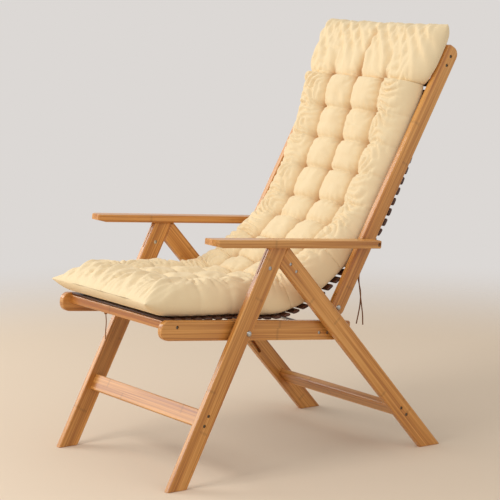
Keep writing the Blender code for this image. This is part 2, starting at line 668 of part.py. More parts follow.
def build_seat(seat, legs, bamboo, steel):
    """Seat rails, their front bar, the pivot bolts, the sliding rod and the plates that carry the back."""
    rail = rounded(seat_rail.bar(-SEAT_TAIL_REACH, SEAT_NOSE_REACH, SEAT_RAIL_DEPTH / 2),
                   [SEAT_TAIL_ROUNDING, SEAT_NOSE_ROUNDING, SEAT_NOSE_ROUNDING, SEAT_TAIL_ROUNDING])
    bar = rounded(seat_rail.bar(FRONT_BAR_REACH - FRONT_BAR_DEPTH / 2, FRONT_BAR_REACH + FRONT_BAR_DEPTH / 2,
                                FRONT_BAR_HEIGHT / 2, -FRONT_BAR_RISE), [BOARD_ROUNDING] * 4, steps=2)
    bar_item = seat.piece("seat_front_bar", prism(bar, -(RAIL_INSIDE - GAP), RAIL_INSIDE - GAP), bamboo)
    screw_reach = BACK_PIVOT_REACH - BACK_PLATE_SCREW_SETBACK
    near_screw = seat_rail.at(-screw_reach, BACK_PLATE_SCREW_DROP)
    far_screw = seat_rail.at(-screw_reach - SCREW_SPREAD, BACK_PLATE_SCREW_DROP)
    plate = hull(circle(back_pivot, PLATE_EYE_RADIUS) + circle(near_screw, PLATE_END_RADIUS)
                 + circle(far_screw, PLATE_END_RADIUS))
    kerf_front = -screw_reach + PLATE_END_RADIUS + KERF_END_MARGIN
    kerf_rear = -BACK_PIVOT_REACH - KERF_END_MARGIN
    kerf_low = BACK_PLATE_SCREW_DROP + PLATE_END_RADIUS + GAP
    kerf = [seat_rail.at(kerf_rear, kerf_low), seat_rail.at(kerf_front, kerf_low),
            seat_rail.at(kerf_front, -SEAT_RAIL_DEPTH), seat_rail.at(kerf_rear, -SEAT_RAIL_DEPTH)]

    collar_out = LEG_INSIDE - RUNNING_GAP
    collar_in = RAIL_OUTSIDE + GAP
    bolt = (dome_profile(LEG_OUTSIDE + GAP) + [(LEG_OUTSIDE + GAP, BOLT_RADIUS)]
            + collar_profile(collar_out, collar_in) + nut_profile(RAIL_INSIDE - GAP))
    rod_end = LEG_INSIDE + GROOVE_DEPTH - ROD_END_GAP
    half_rod = [(rod_end, ROD_RADIUS), (collar_out, ROD_RADIUS), (collar_out, COLLAR_RADIUS),
                (collar_in, COLLAR_RADIUS), (collar_in, ROD_RADIUS)]
    rod = half_rod + [(-x, radius) for x, radius in reversed(half_rod)]
    seat.piece("seat_sliding_rod", turned(rod, rod_place), steel, smooth=True)

    for word, side in SIDES:
        item = seat.piece("seat_rail_" + word, prism(rail, RAIL_INSIDE * side, RAIL_OUTSIDE * side), bamboo,
                          EDGE_ROUNDING)
        middle = RAIL_MIDDLE * side
        combine(item, seat.cutter("seat_kerf_" + word, prism(kerf, middle - KERF_WIDTH / 2, middle + KERF_WIDTH / 2)))
        plate_item = seat.piece("back_hinge_plate_" + word, prism(plate, middle - PLATE_THICKNESS / 2,
                                                                 middle + PLATE_THICKNESS / 2), steel)
        rod_bore = [(RAIL_OUTSIDE + CUTTER_REACH, ROD_RADIUS + GAP), (RAIL_INSIDE - CUTTER_REACH, ROD_RADIUS + GAP)]
        combine(item, seat.cutter("rod_bore_" + word, turned(rod_bore, rod_place, side)))
        pivot_bore = [(LEG_OUTSIDE + CUTTER_REACH, BOLT_RADIUS + GAP), (RAIL_INSIDE - CUTTER_REACH, BOLT_RADIUS + GAP)]
        pivot_cutter = seat.cutter("seat_pivot_bore_" + word, turned(pivot_bore, seat_pivot, side))
        combine(item, pivot_cutter)
        combine(legs[word], pivot_cutter)
        seat.piece("seat_pivot_bolt_" + word, turned(bolt, seat_pivot, side), steel, smooth=True)
        screw(seat, "seat_front_bar_screw_" + word, seat_rail.at(FRONT_BAR_REACH, -FRONT_BAR_RISE), RAIL_OUTSIDE,
              BOARD_SCREW_LENGTH, side, steel, (item, bar_item))
        for place_word, place in (("front", near_screw), ("rear", far_screw)):
            screw(seat, f"back_plate_screw_{place_word}_{word}", place, RAIL_OUTSIDE, PLATE_SCREW_LENGTH, side,
                  steel, (item, plate_item))
        yield word, plate_item


def build_back(hinge, back, plates, bamboo, steel):
    """Back rails with their kerfs, the head bar, and the bolts that carry the rails on the hinge plates."""
    rail = rounded(back_rail.bar(-BACK_RAIL_DEPTH / 2, BACK_RAIL_REACH, BACK_RAIL_DEPTH / 2),
                   [BACK_END_ROUNDING, BACK_TOP_REAR_ROUNDING, BACK_TOP_FRONT_ROUNDING, BACK_END_ROUNDING])
    bar = rounded(back_rail.bar(HEAD_BAR_REACH - BOARD_DEPTH / 2, HEAD_BAR_REACH + BOARD_DEPTH / 2,
                                BOARD_THICKNESS / 2), [BOARD_ROUNDING] * 4, steps=2)
    bar_item = back.piece("head_bar", prism(bar, -(RAIL_INSIDE - GAP), RAIL_INSIDE - GAP), bamboo)
    kerf = [back_rail.at(-BACK_RAIL_DEPTH, -BACK_RAIL_DEPTH), back_rail.at(BACK_KERF_REAR_RISE, -BACK_RAIL_DEPTH),
            back_rail.at(BACK_KERF_REAR_RISE, -BACK_RAIL_DEPTH / 2),
            back_rail.at(BACK_KERF_FRONT_RISE, BACK_RAIL_DEPTH / 2),
            back_rail.at(BACK_KERF_FRONT_RISE, BACK_RAIL_DEPTH), back_rail.at(-BACK_RAIL_DEPTH, BACK_RAIL_DEPTH)]
    shank_end = (RAIL_OUTSIDE + GAP, BOLT_RADIUS)
    bolt = dome_profile(RAIL_OUTSIDE + GAP) + [shank_end] + nut_profile(RAIL_INSIDE - GAP)
    through = [(RAIL_OUTSIDE + CUTTER_REACH, BOLT_RADIUS + GAP), (RAIL_INSIDE - CUTTER_REACH, BOLT_RADIUS + GAP)]
    for word, side in SIDES:
        item = back.piece("back_rail_" + word, prism(rail, RAIL_INSIDE * side, RAIL_OUTSIDE * side), bamboo,
                          EDGE_ROUNDING)
        middle = RAIL_MIDDLE * side
        combine(item, back.cutter("back_kerf_" + word, prism(kerf, middle - KERF_WIDTH / 2, middle + KERF_WIDTH / 2)))
        pivot_cutter = hinge.cutter("back_pivot_bore_" + word, turned(through, back_pivot, side))
        combine(item, pivot_cutter)
        combine(plates[word], pivot_cutter)
        hinge.piece("back_pivot_bolt_" + word, turned(bolt, back_pivot, side), steel, smooth=True)
        for place_word, step in (("upper", SCREW_SPREAD / 2), ("lower", -SCREW_SPREAD / 2)):
            screw(back, f"head_bar_screw_{place_word}_{word}", back_rail.at(HEAD_BAR_REACH + step), RAIL_OUTSIDE,
                  BOARD_SCREW_LENGTH, side, steel, (item, bar_item))
        yield word, item


def build_armrest(group, rail_item, word, side, bamboo, steel):
    """One armrest board and the bolt that hangs it on its back rail."""
    corners = [Vector(corner) for corner in (
        (ARM_INSIDE, -ARM_TAIL), (ARM_INSIDE, ARM_REACH), (ARM_OUTSIDE - ARM_CHAMFER, ARM_REACH),
        (ARM_OUTSIDE, ARM_REACH - ARM_CHAMFER), (ARM_OUTSIDE, -ARM_TAIL))]
    plan = rounded(corners, [ARM_CORNER_ROUNDING, ARM_CORNER_ROUNDING, ARM_CORNER_ROUNDING, ARM_CORNER_ROUNDING,
                             ARM_TAIL_ROUNDING], steps=3)
    plan = [(point.x * side, point.y) for point in plan]
    item = group.piece("armrest_" + word, slab(plan, armrest, -ARM_THICKNESS / 2, ARM_THICKNESS / 2), bamboo,
                       EDGE_ROUNDING)
    low = ARM_THICKNESS / 2
    bevel = [armrest.at(ARM_REACH - ARM_BEVEL_LENGTH, low), armrest.at(ARM_REACH, low - ARM_BEVEL_RISE),
             armrest.at(ARM_REACH + CUTTER_REACH, low - ARM_BEVEL_RISE), armrest.at(ARM_REACH + CUTTER_REACH, 2 * low),
             armrest.at(ARM_REACH - ARM_BEVEL_LENGTH, 2 * low)]
    combine(item, group.cutter("arm_bevel_" + word, prism(bevel, (ARM_INSIDE - CUTTER_REACH) * side,
                                                          (ARM_OUTSIDE + CUTTER_REACH) * side)))
    head = ARM_OUTSIDE - ARM_BOLT_RECESS
    bolt = ([(head, BARREL_HEAD_RADIUS), (head - BARREL_HEAD_HEIGHT, BARREL_HEAD_RADIUS),
             (head - BARREL_HEAD_HEIGHT, BOLT_RADIUS)]
            + collar_profile(ARM_INSIDE - GAP, RAIL_OUTSIDE + GAP) + nut_profile(RAIL_INSIDE - GAP))
    bore = [(ARM_OUTSIDE + CUTTER_REACH, BARREL_HEAD_RADIUS + GAP),
            (head - BARREL_HEAD_HEIGHT - GAP, BARREL_HEAD_RADIUS + GAP),
            (head - BARREL_HEAD_HEIGHT - GAP, BOLT_RADIUS + GAP), (RAIL_INSIDE - CUTTER_REACH, BOLT_RADIUS + GAP)]
    cutter = group.cutter("arm_bolt_bore_" + word, turned(bore, arm_pivot, side))
    combine(item, cutter)
    combine(rail_item, cutter)
    group.piece("armrest_bolt_" + word, turned(bolt, arm_pivot, side), steel, smooth=True)


def build_sling():
    """The route of the slung mat, carried on past both bars for the cushion."""
    bar_lift = -(FRONT_BAR_RISE + FRONT_BAR_HEIGHT / 2 + GAP + SLAT_THICKNESS / 2)
    bar_front = FRONT_BAR_REACH + FRONT_BAR_DEPTH / 2
    head_offset = BOARD_THICKNESS / 2 + GAP + SLAT_THICKNESS / 2
    places = [seat_rail.at(bar_front + 2 * CUSHION_OVERHANG, bar_lift), seat_rail.at(bar_front, bar_lift),
              seat_rail.at(FRONT_BAR_REACH, bar_lift), seat_rail.at(bar_front - FRONT_BAR_DEPTH, bar_lift),
              seat_rail.at(0.0, (bar_lift - SLING_LOW_RISE) / 2 - 0.0005),
              seat_rail.at(-SLING_LOW_REACH, -SLING_LOW_RISE)]
    places += [back_rail.at(reach, offset) for reach, offset in SLING_BACK_PLACES]
    bar_foot = HEAD_BAR_REACH - BOARD_DEPTH / 2
    places += [back_rail.at(bar_foot - SLING_STRAIGHT_LEAD, head_offset), back_rail.at(bar_foot, head_offset),
               back_rail.at(HEAD_BAR_REACH + BOARD_DEPTH / 2, head_offset),
               back_rail.at(CUSHION_TOP_REACH + 2 * PILLOW_HEIGHT, head_offset)]
    return Sling(places)


def build_mats(seat, hinge, back, sling, bamboo):
    """The slats in three runs: on the seat, round the crease and up the back. Returns the slats' stations."""
    bar_lift = -(FRONT_BAR_RISE + FRONT_BAR_HEIGHT / 2 + GAP + SLAT_THICKNESS / 2)
    first = sling.station_of(seat_rail.at(FRONT_BAR_REACH + FRONT_BAR_DEPTH / 2 - SLAT_WIDTH / 2, bar_lift))
    top = sling.station_of(back_rail.at(HEAD_BAR_REACH + BOARD_DEPTH / 2 - SLAT_WIDTH / 2, BOARD_THICKNESS))
    count = int((top - first) / SLAT_PITCH) + 1
    stations = [first + SLAT_PITCH * index for index in range(count)]
    runs = ((seat, "seat_slat_mat", 0, SEAT_SLATS), (hinge, "crease_slat_mat", SEAT_SLATS, SEAT_SLATS + CREASE_SLATS),
            (back, "back_slat_mat", SEAT_SLATS + CREASE_SLATS, count))
    for group, name, low, high in runs:
        start = stations[low] - (SLAT_PITCH - GAP) / 2 if low else stations[0]
        end = stations[high - 1] + ((SLAT_PITCH - GAP) / 2 if high < count else 0.0)
        mat(group, name, sling, stations[low:high], start, end, bamboo)
    return stations


def build_cushions(seat, back, sling, cloth):
    """The seat pad, the back pad and the head roll, end to end on the sling."""
    front = sling.station_of(seat_rail.at(FRONT_BAR_REACH + FRONT_BAR_DEPTH / 2, -FRONT_BAR_RISE)) - CUSHION_OVERHANG
    crease = sling.station_of(back_rail.at(*SLING_BACK_PLACES[0]))
    top = sling.station_of(back_rail.at(CUSHION_TOP_REACH, BOARD_THICKNESS))
    seat.piece("seat_cushion", cushion(sling, front, crease, SEAT_PUFFS, CUSHION_LOFT, CUSHION_HALF_WIDTH,
                                       CUSHION_LIFT), cloth, smooth=True)
    back.piece("back_cushion", cushion(sling, crease + GAP, top, BACK_PUFFS, CUSHION_LOFT, CUSHION_HALF_WIDTH,
                                       CUSHION_LIFT), cloth, smooth=True)
    back.piece("head_pillow", cushion(sling, top + GAP, top + PILLOW_HEIGHT, PILLOW_PUFFS, PILLOW_LOFT,
                                      PILLOW_HALF_WIDTH, PILLOW_LIFT), cloth, smooth=True)


def build_tie(group, name, band, knot_place, x, routes, cloth):
    """A ribbon tied round a bar: a flat band, given as an outer and an inner solid, a knot and hanging ends."""
    outer, inner = band
    item = group.piece(name + "_band", outer, cloth)
    combine(item, group.cutter(name + "_band_hole", inner))
    knot_profile = [(x + KNOT_RADIUS * math.cos(angle), KNOT_RADIUS * math.sin(angle))
                    for angle in np.radians((20, 55, 90, 125, 160))]
    combine(item, group.cutter(name + "_knot", turned(knot_profile, knot_place, 1, 10)), "UNION")
    start = knot_place + Vector((0.0, -KNOT_RADIUS - GAP))
    for index, route in enumerate(routes):
        smooth = Sling([start + Vector(step) for step in route])
        count = max(4, round(smooth.lengths[-1] / TIE_POINT_SPACING) + 1)
        points, _, _ = smooth.at(np.linspace(0.0, smooth.lengths[-1], count))
        spread = TIE_SPREAD * (2 * index - 1) if len(routes) > 1 else 0.0
        group.cord(f"{name}_end_{index + 1}", points, x + spread, TIE_WIDTH, cloth)


def build_rear_tie(group, sling, station, cloth):
    """The ribbon round a slat's end, its knot under the slat."""
    place, direction, _ = (Vector(row[0]) for row in sling.at(station))
    line = Line(place, math.degrees(math.atan2(direction.x, direction.y)))
    depth, reach = SLAT_THICKNESS / 2 + GAP, SLAT_WIDTH / 2 + GAP
    wall = TIE_BAND_THICKNESS
    half_band = TIE_BAND_WIDTH / 2
    outer = prism(line.bar(-reach - wall, reach + wall, depth + wall),
                  REAR_TIE_PLACE - half_band, REAR_TIE_PLACE + half_band)
    inner = prism(line.bar(-reach, reach, depth),
                  REAR_TIE_PLACE - half_band - CUTTER_REACH, REAR_TIE_PLACE + half_band + CUTTER_REACH)
    knot_place = line.at(0.0, -(depth + wall + KNOT_RADIUS * KNOT_SHARE_OUTSIDE))
    build_tie(group, "rear_tie", (outer, inner), knot_place, REAR_TIE_PLACE, REAR_TIE_ROUTES, cloth)


def build_front_tie(group, cloth):
    """The ribbon round the right seat rail, its knot under the rail."""
    depth = SEAT_RAIL_DEPTH / 2 + GAP
    wall = TIE_BAND_THICKNESS
    low, high = FRONT_TIE_REACH - TIE_BAND_WIDTH / 2, FRONT_TIE_REACH + TIE_BAND_WIDTH / 2
    outer = prism(seat_rail.bar(low, high, depth + wall), -(RAIL_OUTSIDE + GAP + wall), -(RAIL_INSIDE - GAP - wall))
    inner = prism(seat_rail.bar(low - CUTTER_REACH, high + CUTTER_REACH, depth), -(RAIL_OUTSIDE + GAP),
                  -(RAIL_INSIDE - GAP))
    knot_place = seat_rail.at(FRONT_TIE_REACH, depth + wall + KNOT_RADIUS * KNOT_SHARE_OUTSIDE)
    build_tie(group, "front_tie", (outer, inner), knot_place, -RAIL_MIDDLE, (FRONT_TIE_ROUTE,), cloth)


def centre_over_origin(root):
    """Slide the whole part so that the middle of its box stands over the origin."""
    bpy.context.view_layer.update()
    graph = bpy.context.evaluated_depsgraph_get()
    depths = []
    for item in bpy.data.objects:
        if item.type == "MESH" and not item.hide_render:
            shown = item.evaluated_get(graph)
            depths += [(shown.matrix_world @ Vector(corner)).y for corner in shown.bound_box]
    root.empty.location.y = -(min(depths) + max(depths)) / 2
    bpy.context.view_layer.update()


def main():
    """Build the lounger."""
    for item in list(bpy.data.objects):
        bpy.data.objects.remove(item)
    bamboo = finish("honey_bamboo", (0.56, 0.27, 0.085), 0.38)
    dark_bamboo = finish("dark_bamboo_slats", (0.045, 0.012, 0.005), 0.42)
    steel = finish("plated_steel", (0.62, 0.62, 0.60), 0.28, 1.0)
    cloth = finish("cream_cotton", (0.94, 0.76, 0.47), 0.92)

    root = Group("lounger", (0.0, 0.0))
    base = Group("rear_frame", rear_leg.start, root)
    front = Group("leg_fold_axis", leg_pivot, root)
    seat = Group("seat_fold_axis", seat_pivot, front)
    hinge = Group("recline_axis", back_pivot, seat)
    back = Group("back_fold_axis", back_pivot, hinge)

    legs = dict(build_legs(base, front, bamboo, steel))
    plates = dict(build_seat(seat, legs, bamboo, steel))
    rails = dict(build_back(hinge, back, plates, bamboo, steel))
    for word, side in SIDES:
        build_armrest(Group("arm_fold_axis_" + word, arm_pivot, back), rails[word], word, side, bamboo, steel)
    sling = build_sling()
    stations = build_mats(seat, hinge, back, sling, dark_bamboo)
    build_cushions(seat, back, sling, cloth)
    build_rear_tie(hinge, sling, stations[REAR_TIE_SLAT], cloth)
    build_front_tie(seat, cloth)
    centre_over_origin(root)
    for group in (base, front, seat, hinge):
        print("axis", group.empty.name, [round(value, 5) for value in group.empty.matrix_world.translation])
    print("axis armrests", round(arm_pivot.x + root.empty.location.y, 5), round(arm_pivot.y, 5))


main()
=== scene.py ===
"""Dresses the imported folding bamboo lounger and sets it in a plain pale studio.

Lengths are metres in the frame's own axes: +Z up, the front at -Y, the sitter's left at +X.
Side-plane points are (y, z) pairs.
"""

import json
import logging
import math
from dataclasses import dataclass, field
from enum import Enum

import bpy
import numpy as np
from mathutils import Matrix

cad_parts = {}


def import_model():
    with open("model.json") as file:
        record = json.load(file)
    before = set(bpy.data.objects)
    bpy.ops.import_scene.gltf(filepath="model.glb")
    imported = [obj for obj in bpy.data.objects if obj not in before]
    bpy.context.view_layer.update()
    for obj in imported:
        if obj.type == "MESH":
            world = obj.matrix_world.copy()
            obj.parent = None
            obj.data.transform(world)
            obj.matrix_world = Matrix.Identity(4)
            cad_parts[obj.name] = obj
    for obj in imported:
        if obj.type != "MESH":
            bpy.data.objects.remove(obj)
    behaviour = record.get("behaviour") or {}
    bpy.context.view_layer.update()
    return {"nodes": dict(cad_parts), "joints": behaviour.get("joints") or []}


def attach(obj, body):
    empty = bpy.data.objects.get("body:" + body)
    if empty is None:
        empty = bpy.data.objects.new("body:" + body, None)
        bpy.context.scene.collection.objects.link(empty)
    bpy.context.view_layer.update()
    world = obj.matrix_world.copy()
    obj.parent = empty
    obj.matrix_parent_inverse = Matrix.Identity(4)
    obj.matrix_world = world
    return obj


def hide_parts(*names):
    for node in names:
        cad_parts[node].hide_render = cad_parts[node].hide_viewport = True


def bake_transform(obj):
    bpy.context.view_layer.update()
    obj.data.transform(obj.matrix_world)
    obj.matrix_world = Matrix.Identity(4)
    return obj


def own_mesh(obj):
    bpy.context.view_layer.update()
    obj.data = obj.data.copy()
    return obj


LOG = logging.getLogger("lounger")


class Body(Enum):
    """The moving bodies that new pieces ride on."""

    SEAT = "seat_frame"
    HINGE = "back_hinge"
    BACK = "back_frame"


class Slot(Enum):
    """The record's material slots; no new piece takes one."""

    SLAT = "dark_bamboo_slats"
    CLOTH = "cream_cotton"


# Shader maths

class Signal:
    """A shader socket that takes part in sums and products."""

    def __init__(self, bench: "Bench", socket: bpy.types.NodeSocket) -> None:
        """Wrap a socket of the bench's node tree."""
        self.bench = bench
        self.socket = socket

    def maths(self, operation: str, *values: "Signal | float") -> "Signal":
        """A Math node on this socket and more values.

        Args:
            operation: the node's operation.
            values: what goes into its further sockets.

        Returns:
            The node's result.
        """
        sockets = {index: value for index, value in enumerate((self, *values))}
        return self.bench.value("ShaderNodeMath", {"operation": operation}, sockets)

    def __add__(self, other: "Signal | float") -> "Signal":
        """Sum."""
        return self.maths("ADD", other)

    __radd__ = __add__

    def __mul__(self, other: "Signal | float") -> "Signal":
        """Product."""
        return self.maths("MULTIPLY", other)

    __rmul__ = __mul__

    def __sub__(self, other: "Signal | float") -> "Signal":
        """Difference."""
        return self.maths("SUBTRACT", other)

    def __rsub__(self, other: float) -> "Signal":
        """A number less this socket."""
        return (self * -1.0) + other

    def __truediv__(self, other: float) -> "Signal":
        """This socket divided by a number."""
        return self * (1.0 / other)

    def __abs__(self) -> "Signal":
        """Size without sign."""
        return self.maths("ABSOLUTE")

    def floor(self) -> "Signal":
        """The whole number below."""
        return self.maths("FLOOR")

    def fraction(self) -> "Signal":
        """What the whole number below leaves."""
        return self.maths("FRACT")

    def sine(self) -> "Signal":
        """Sine, in radians."""
        return self.maths("SINE")

    def power(self, exponent: float) -> "Signal":
        """This socket to a power."""
        return self.maths("POWER", exponent)

    def spread(self, low: float, high: float) -> "Signal":
        """A smooth step.

        Args:
            low: the value that gives 0.
            high: the value that gives 1.

        Returns:
            0 to 1.
        """
        sockets = {"Value": self, "From Min": low, "From Max": high}
        return self.bench.value("ShaderNodeMapRange", {"interpolation_type": "SMOOTHSTEP"}, sockets)


class Bench:
    """Makes the nodes of one material, or of the world."""

    def __init__(self, owner: bpy.types.Material | bpy.types.World, shader: str = "Principled BSDF") -> None:
        """Start on a new material or world and the shader that it comes with."""
        self.owner = owner
        owner.use_nodes = True
        self.tree = owner.node_tree
        self.shader = self.tree.nodes[shader]

    def node(self, kind: str, settings: dict | None = None, sockets: dict | None = None) -> bpy.types.Node:
        """Make a node.

        Args:
            kind: its type.
            settings: its properties, set first; "stops" is a ramp's list of (place, colour).
            sockets: a value or Signal for each input that is named or numbered.

        Returns:
            The node.
        """
        made = self.tree.nodes.new(kind)
        for key, value in (settings or {}).items():
            if key == "stops":
                elements = made.color_ramp.elements
                while len(elements) < len(value):
                    elements.new(0.5)
                for element, (place, colour) in zip(elements, value):
                    element.position = place
                    element.color = (*colour, 1.0)
            else:
                setattr(made, key, value)
        for key, value in (sockets or {}).items():
            self.feed(made.inputs[key], value)
        return made

    def value(self, kind: str, settings: dict | None = None, sockets: dict | None = None,
              output: int | str = 0) -> Signal:
        """A node's output as a Signal; the arguments are node's, and the output's name or number."""
        return Signal(self, self.node(kind, settings, sockets).outputs[output])

    def feed(self, target: bpy.types.NodeSocket, value: "Signal | float | tuple") -> None:
        """Link a Signal to a socket, or set its value."""
        if isinstance(value, Signal):
            self.tree.links.new(value.socket, target)
        elif isinstance(value, tuple) and len(value) == 3 and target.type == "RGBA":
            target.default_value = (*value, 1.0)
        else:
            target.default_value = value

    def place(self) -> Signal:
        """Object coordinates."""
        return self.value("ShaderNodeTexCoord", output="Object")

    def along(self, vector: Signal, direction: tuple[float, float, float]) -> Signal:
        """How far a vector reaches in a fixed direction."""
        sockets = {0: vector, 1: direction}
        return self.value("ShaderNodeVectorMath", {"operation": "DOT_PRODUCT"}, sockets, output="Value")

    def vector(self, x: Signal | float, y: Signal | float, z: Signal | float) -> Signal:
        """A vector of three values."""
        return self.value("ShaderNodeCombineXYZ", sockets={0: x, 1: y, 2: z})

    def noise(self, vector: Signal, scale: float, detail: float = 3.0) -> Signal:
        """Smooth noise from 0 to 1 on a vector."""
        return self.value("ShaderNodeTexNoise", sockets={"Vector": vector, "Scale": scale, "Detail": detail})

    def chance(self, seed: Signal) -> Signal:
        """A random number from 0 to 1 for each value of the seed."""
        return self.value("ShaderNodeTexWhiteNoise", {"noise_dimensions": "1D"}, {"W": seed})

    def mix(self, factor: Signal | float, first: Signal | tuple, second: Signal | tuple,
            blend: str = "MIX") -> Signal:
        """A mix of two colours.

        Args:
            factor: how much of the second.
            first: a colour.
            second: a colour.
            blend: the way they are mixed.

        Returns:
            The mixed colour.
        """
        settings = {"data_type": "RGBA", "blend_type": blend, "clamp_factor": True}
        return self.value("ShaderNodeMix", settings, {0: factor, 6: first, 7: second}, output=2)

    def ramp(self, factor: Signal, stops: list[tuple[float, tuple[float, float, float]]]) -> Signal:
        """A colour ramp."""
        return self.value("ShaderNodeValToRGB", {"stops": stops}, {"Fac": factor})

    def grey(self, value: Signal) -> Signal:
        """A value as a grey colour."""
        return self.value("ShaderNodeCombineColor", sockets={0: value, 1: value, 2: value})

    def finish(self, colour: Signal | tuple, roughness: Signal | float, height: Signal | None = None,
               depth: float = 0.0, **constants: float) -> bpy.types.Material:
        """Feed the shader.

        Args:
            colour: the base colour.
            roughness: a value or Signal.
            height: a relief from 0 to 1.
            depth: the relief's real depth.
            constants: further sockets of the shader, with _ for a space.

        Returns:
            The material.
        """
        self.feed(self.shader.inputs["Base Color"], colour)
        self.feed(self.shader.inputs["Roughness"], roughness)
        if height is not None:
            sockets = {"Strength": 1.0, "Distance": depth, "Height": height}
            bump = self.value("ShaderNodeBump", sockets=sockets, output="Normal")
            self.feed(self.shader.inputs["Normal"], bump)
        for name, value in constants.items():
            self.shader.inputs[name.replace("_", " ")].default_value = value
        return self.owner


def pigment(red: int, green: int, blue: int) -> tuple[float, float, float]:
    """A screen colour from 0 to 255 as the shader's linear colour."""
    def linear(value: int) -> float:
        """The standard screen curve, undone."""
        share = value / 255
        return share / 12.92 if share <= 0.04045 else ((share + 0.055) / 1.055) ** 2.4
    return linear(red), linear(green), linear(blue)


# Finishes

@dataclass(frozen=True)
class BambooBoard:
    """Lacquered board glued up from bamboo strips, with a grain, darker joints and faint glue lines."""

    light: tuple[float, float, float] = pigment(226, 166, 92)
    middle: tuple[float, float, float] = pigment(197, 133, 61)
    dark: tuple[float, float, float] = pigment(160, 93, 36)
    strip: float = 0.0245
    joint_spacing: float = 0.36
    joint_width: float = 0.006
    joint_shade: float = 0.20
    glue_shade: float = 0.10
    tone_range: float = 0.15
    fibres_per_metre: float = 260.0
    streaks_per_metre: float = 60.0
    relief: float = 0.00018

    def material(self, name: str, along: tuple, across: tuple, seed: float) -> bpy.types.Material:
        """The board's material.

        Args:
            name: the material's name.
            along: the direction of the grain.
            across: the direction across the strips.
            seed: tells boards apart.

        Returns:
            The material.
        """
        bench = Bench(bpy.data.materials.new(name))
        place = bench.place()
        through = tuple(np.cross(along, across))
        run = bench.along(place, along)
        width = bench.along(place, across)
        depth = bench.along(place, through)
        # Each strip has its own number; its tone and the place of its joints follow from it
        strip_place = width / self.strip + seed
        number = strip_place.floor()
        tone = bench.chance(number + seed)
        warp = bench.noise(bench.vector(run, width, depth), 9.0) * 0.004
        start = bench.chance(number * 1.7 + seed) * self.joint_spacing
        cell = (run + warp + start) / self.joint_spacing
        off_joint = abs(cell.fraction() - 0.5) * self.joint_spacing
        joint = 1.0 - off_joint.spread(0.0, self.joint_width)
        # Fibres are noise drawn out along the board, coarse and fine
        fine, coarse = self.fibres_per_metre, self.streaks_per_metre
        fibre = bench.noise(bench.vector(run * 3.0, width * fine, depth * fine), 1.0, 4.0)
        streak = bench.noise(bench.vector(run * 1.3, width * coarse, depth * coarse + number), 1.0, 3.0)
        grain = (fibre * 0.55 + streak * 0.45).spread(0.30, 0.72)
        colour = bench.ramp(grain, [(0.0, self.dark), (0.45, self.middle), (1.0, self.light)])
        shade = (tone * self.tone_range + 0.92) * (1.0 - joint * self.joint_shade)
        glue = abs(strip_place.fraction() - 0.5).spread(0.465, 0.5)
        colour = bench.mix(1.0, colour, bench.grey(shade * (1.0 - glue * self.glue_shade)), "MULTIPLY")
        height = fibre * 0.6 + joint * 0.4
        return bench.finish(colour, fibre * 0.16 + 0.30, height, self.relief, Coat_Weight=0.35,
                            Coat_Roughness=0.22)


@dataclass(frozen=True)
class StainedSlat:
    """Thin bamboo slats stained nearly black-brown, grain across the lounger."""

    light: tuple[float, float, float] = pigment(92, 48, 26)
    dark: tuple[float, float, float] = pigment(44, 18, 9)

    def material(self, name: str) -> bpy.types.Material:
        """The slats' material, named name."""
        bench = Bench(bpy.data.materials.new(name))
        place = bench.place()
        x = bench.along(place, (1.0, 0.0, 0.0))
        y = bench.along(place, (0.0, 1.0, 0.0))
        z = bench.along(place, (0.0, 0.0, 1.0))
        fibre = bench.noise(bench.vector(x * 4.0, y * 320.0, z * 320.0), 1.0, 4.0)
        cloud = bench.noise(place, 22.0)
        grain = (fibre * 0.6 + cloud * 0.4).spread(0.3, 0.7)
        colour = bench.ramp(grain, [(0.0, self.dark), (1.0, self.light)])
        return bench.finish(colour, fibre * 0.2 + 0.34, fibre, 0.0002, Coat_Weight=0.15,
                            Coat_Roughness=0.3)


@dataclass(frozen=True)
class PlatedSteel:
    """Zinc-plated steel with faint clouding."""

    colour: tuple[float, float, float] = pigment(196, 196, 192)
    dull: tuple[float, float, float] = pigment(150, 148, 142)
    roughness: float = 0.26

    def material(self, name: str) -> bpy.types.Material:
        """The steel's material, named name."""
        bench = Bench(bpy.data.materials.new(name))
        cloud = bench.noise(bench.place(), 180.0, 4.0)
        colour = bench.mix(cloud.spread(0.35, 0.7), self.colour, self.dull)
        return bench.finish(colour, cloud * 0.2 + self.roughness, cloud, 0.00004, Metallic=1.0)


@dataclass(frozen=True)
class CottonCover:
    """Matt plain-weave cotton; a per-vertex value paints shade into it, darker and warmer where the cloth is
    drawn in.
    """

    light: tuple[float, float, float] = pigment(238, 214, 172)
    shade_colour: tuple[float, float, float] = pigment(200, 144, 84)
    yarn: float = 0.0011

    def material(self, name: str) -> bpy.types.Material:
        """The cloth's material, named name."""
        bench = Bench(bpy.data.materials.new(name))
        map_place = bench.value("ShaderNodeUVMap", {"uv_map": "cloth"})
        valley = bench.value("ShaderNodeAttribute", {"attribute_name": "valley"}, output="Fac")
        u = bench.along(map_place, (1.0, 0.0, 0.0))
        v = bench.along(map_place, (0.0, 1.0, 0.0))
        turn = math.pi / self.yarn
        # Over-and-under weave: the two thread waves are multiplied, so they swap at each crossing
        weave = (u * turn).sine() * (v * turn).sine() * 0.5 + 0.5
        slub = bench.noise(bench.vector(u * 90.0, v * 900.0, 0.0), 1.0, 2.0)
        cloud = bench.noise(bench.vector(u, v, 0.0), 14.0, 3.0)
        # Painted shade: the per-vertex value pulls the colour towards the darker, warmer shade colour; the
        # cloud adds random tone.
        tone = (valley * 0.85 + (cloud - 0.5) * 0.25).spread(0.0, 1.0)
        colour = bench.mix(tone, self.light, self.shade_colour)
        threads = weave * 0.05 + slub * 0.05 + 0.945
        colour = bench.mix(1.0, colour, bench.grey(threads), "MULTIPLY")
        relief = weave * 0.6 + slub * 0.4
        return bench.finish(colour, slub * 0.08 + 0.84, relief, 0.00016, Sheen_Weight=0.12,
                            Sheen_Roughness=0.5, Specular_IOR_Level=0.25)


# Shapes

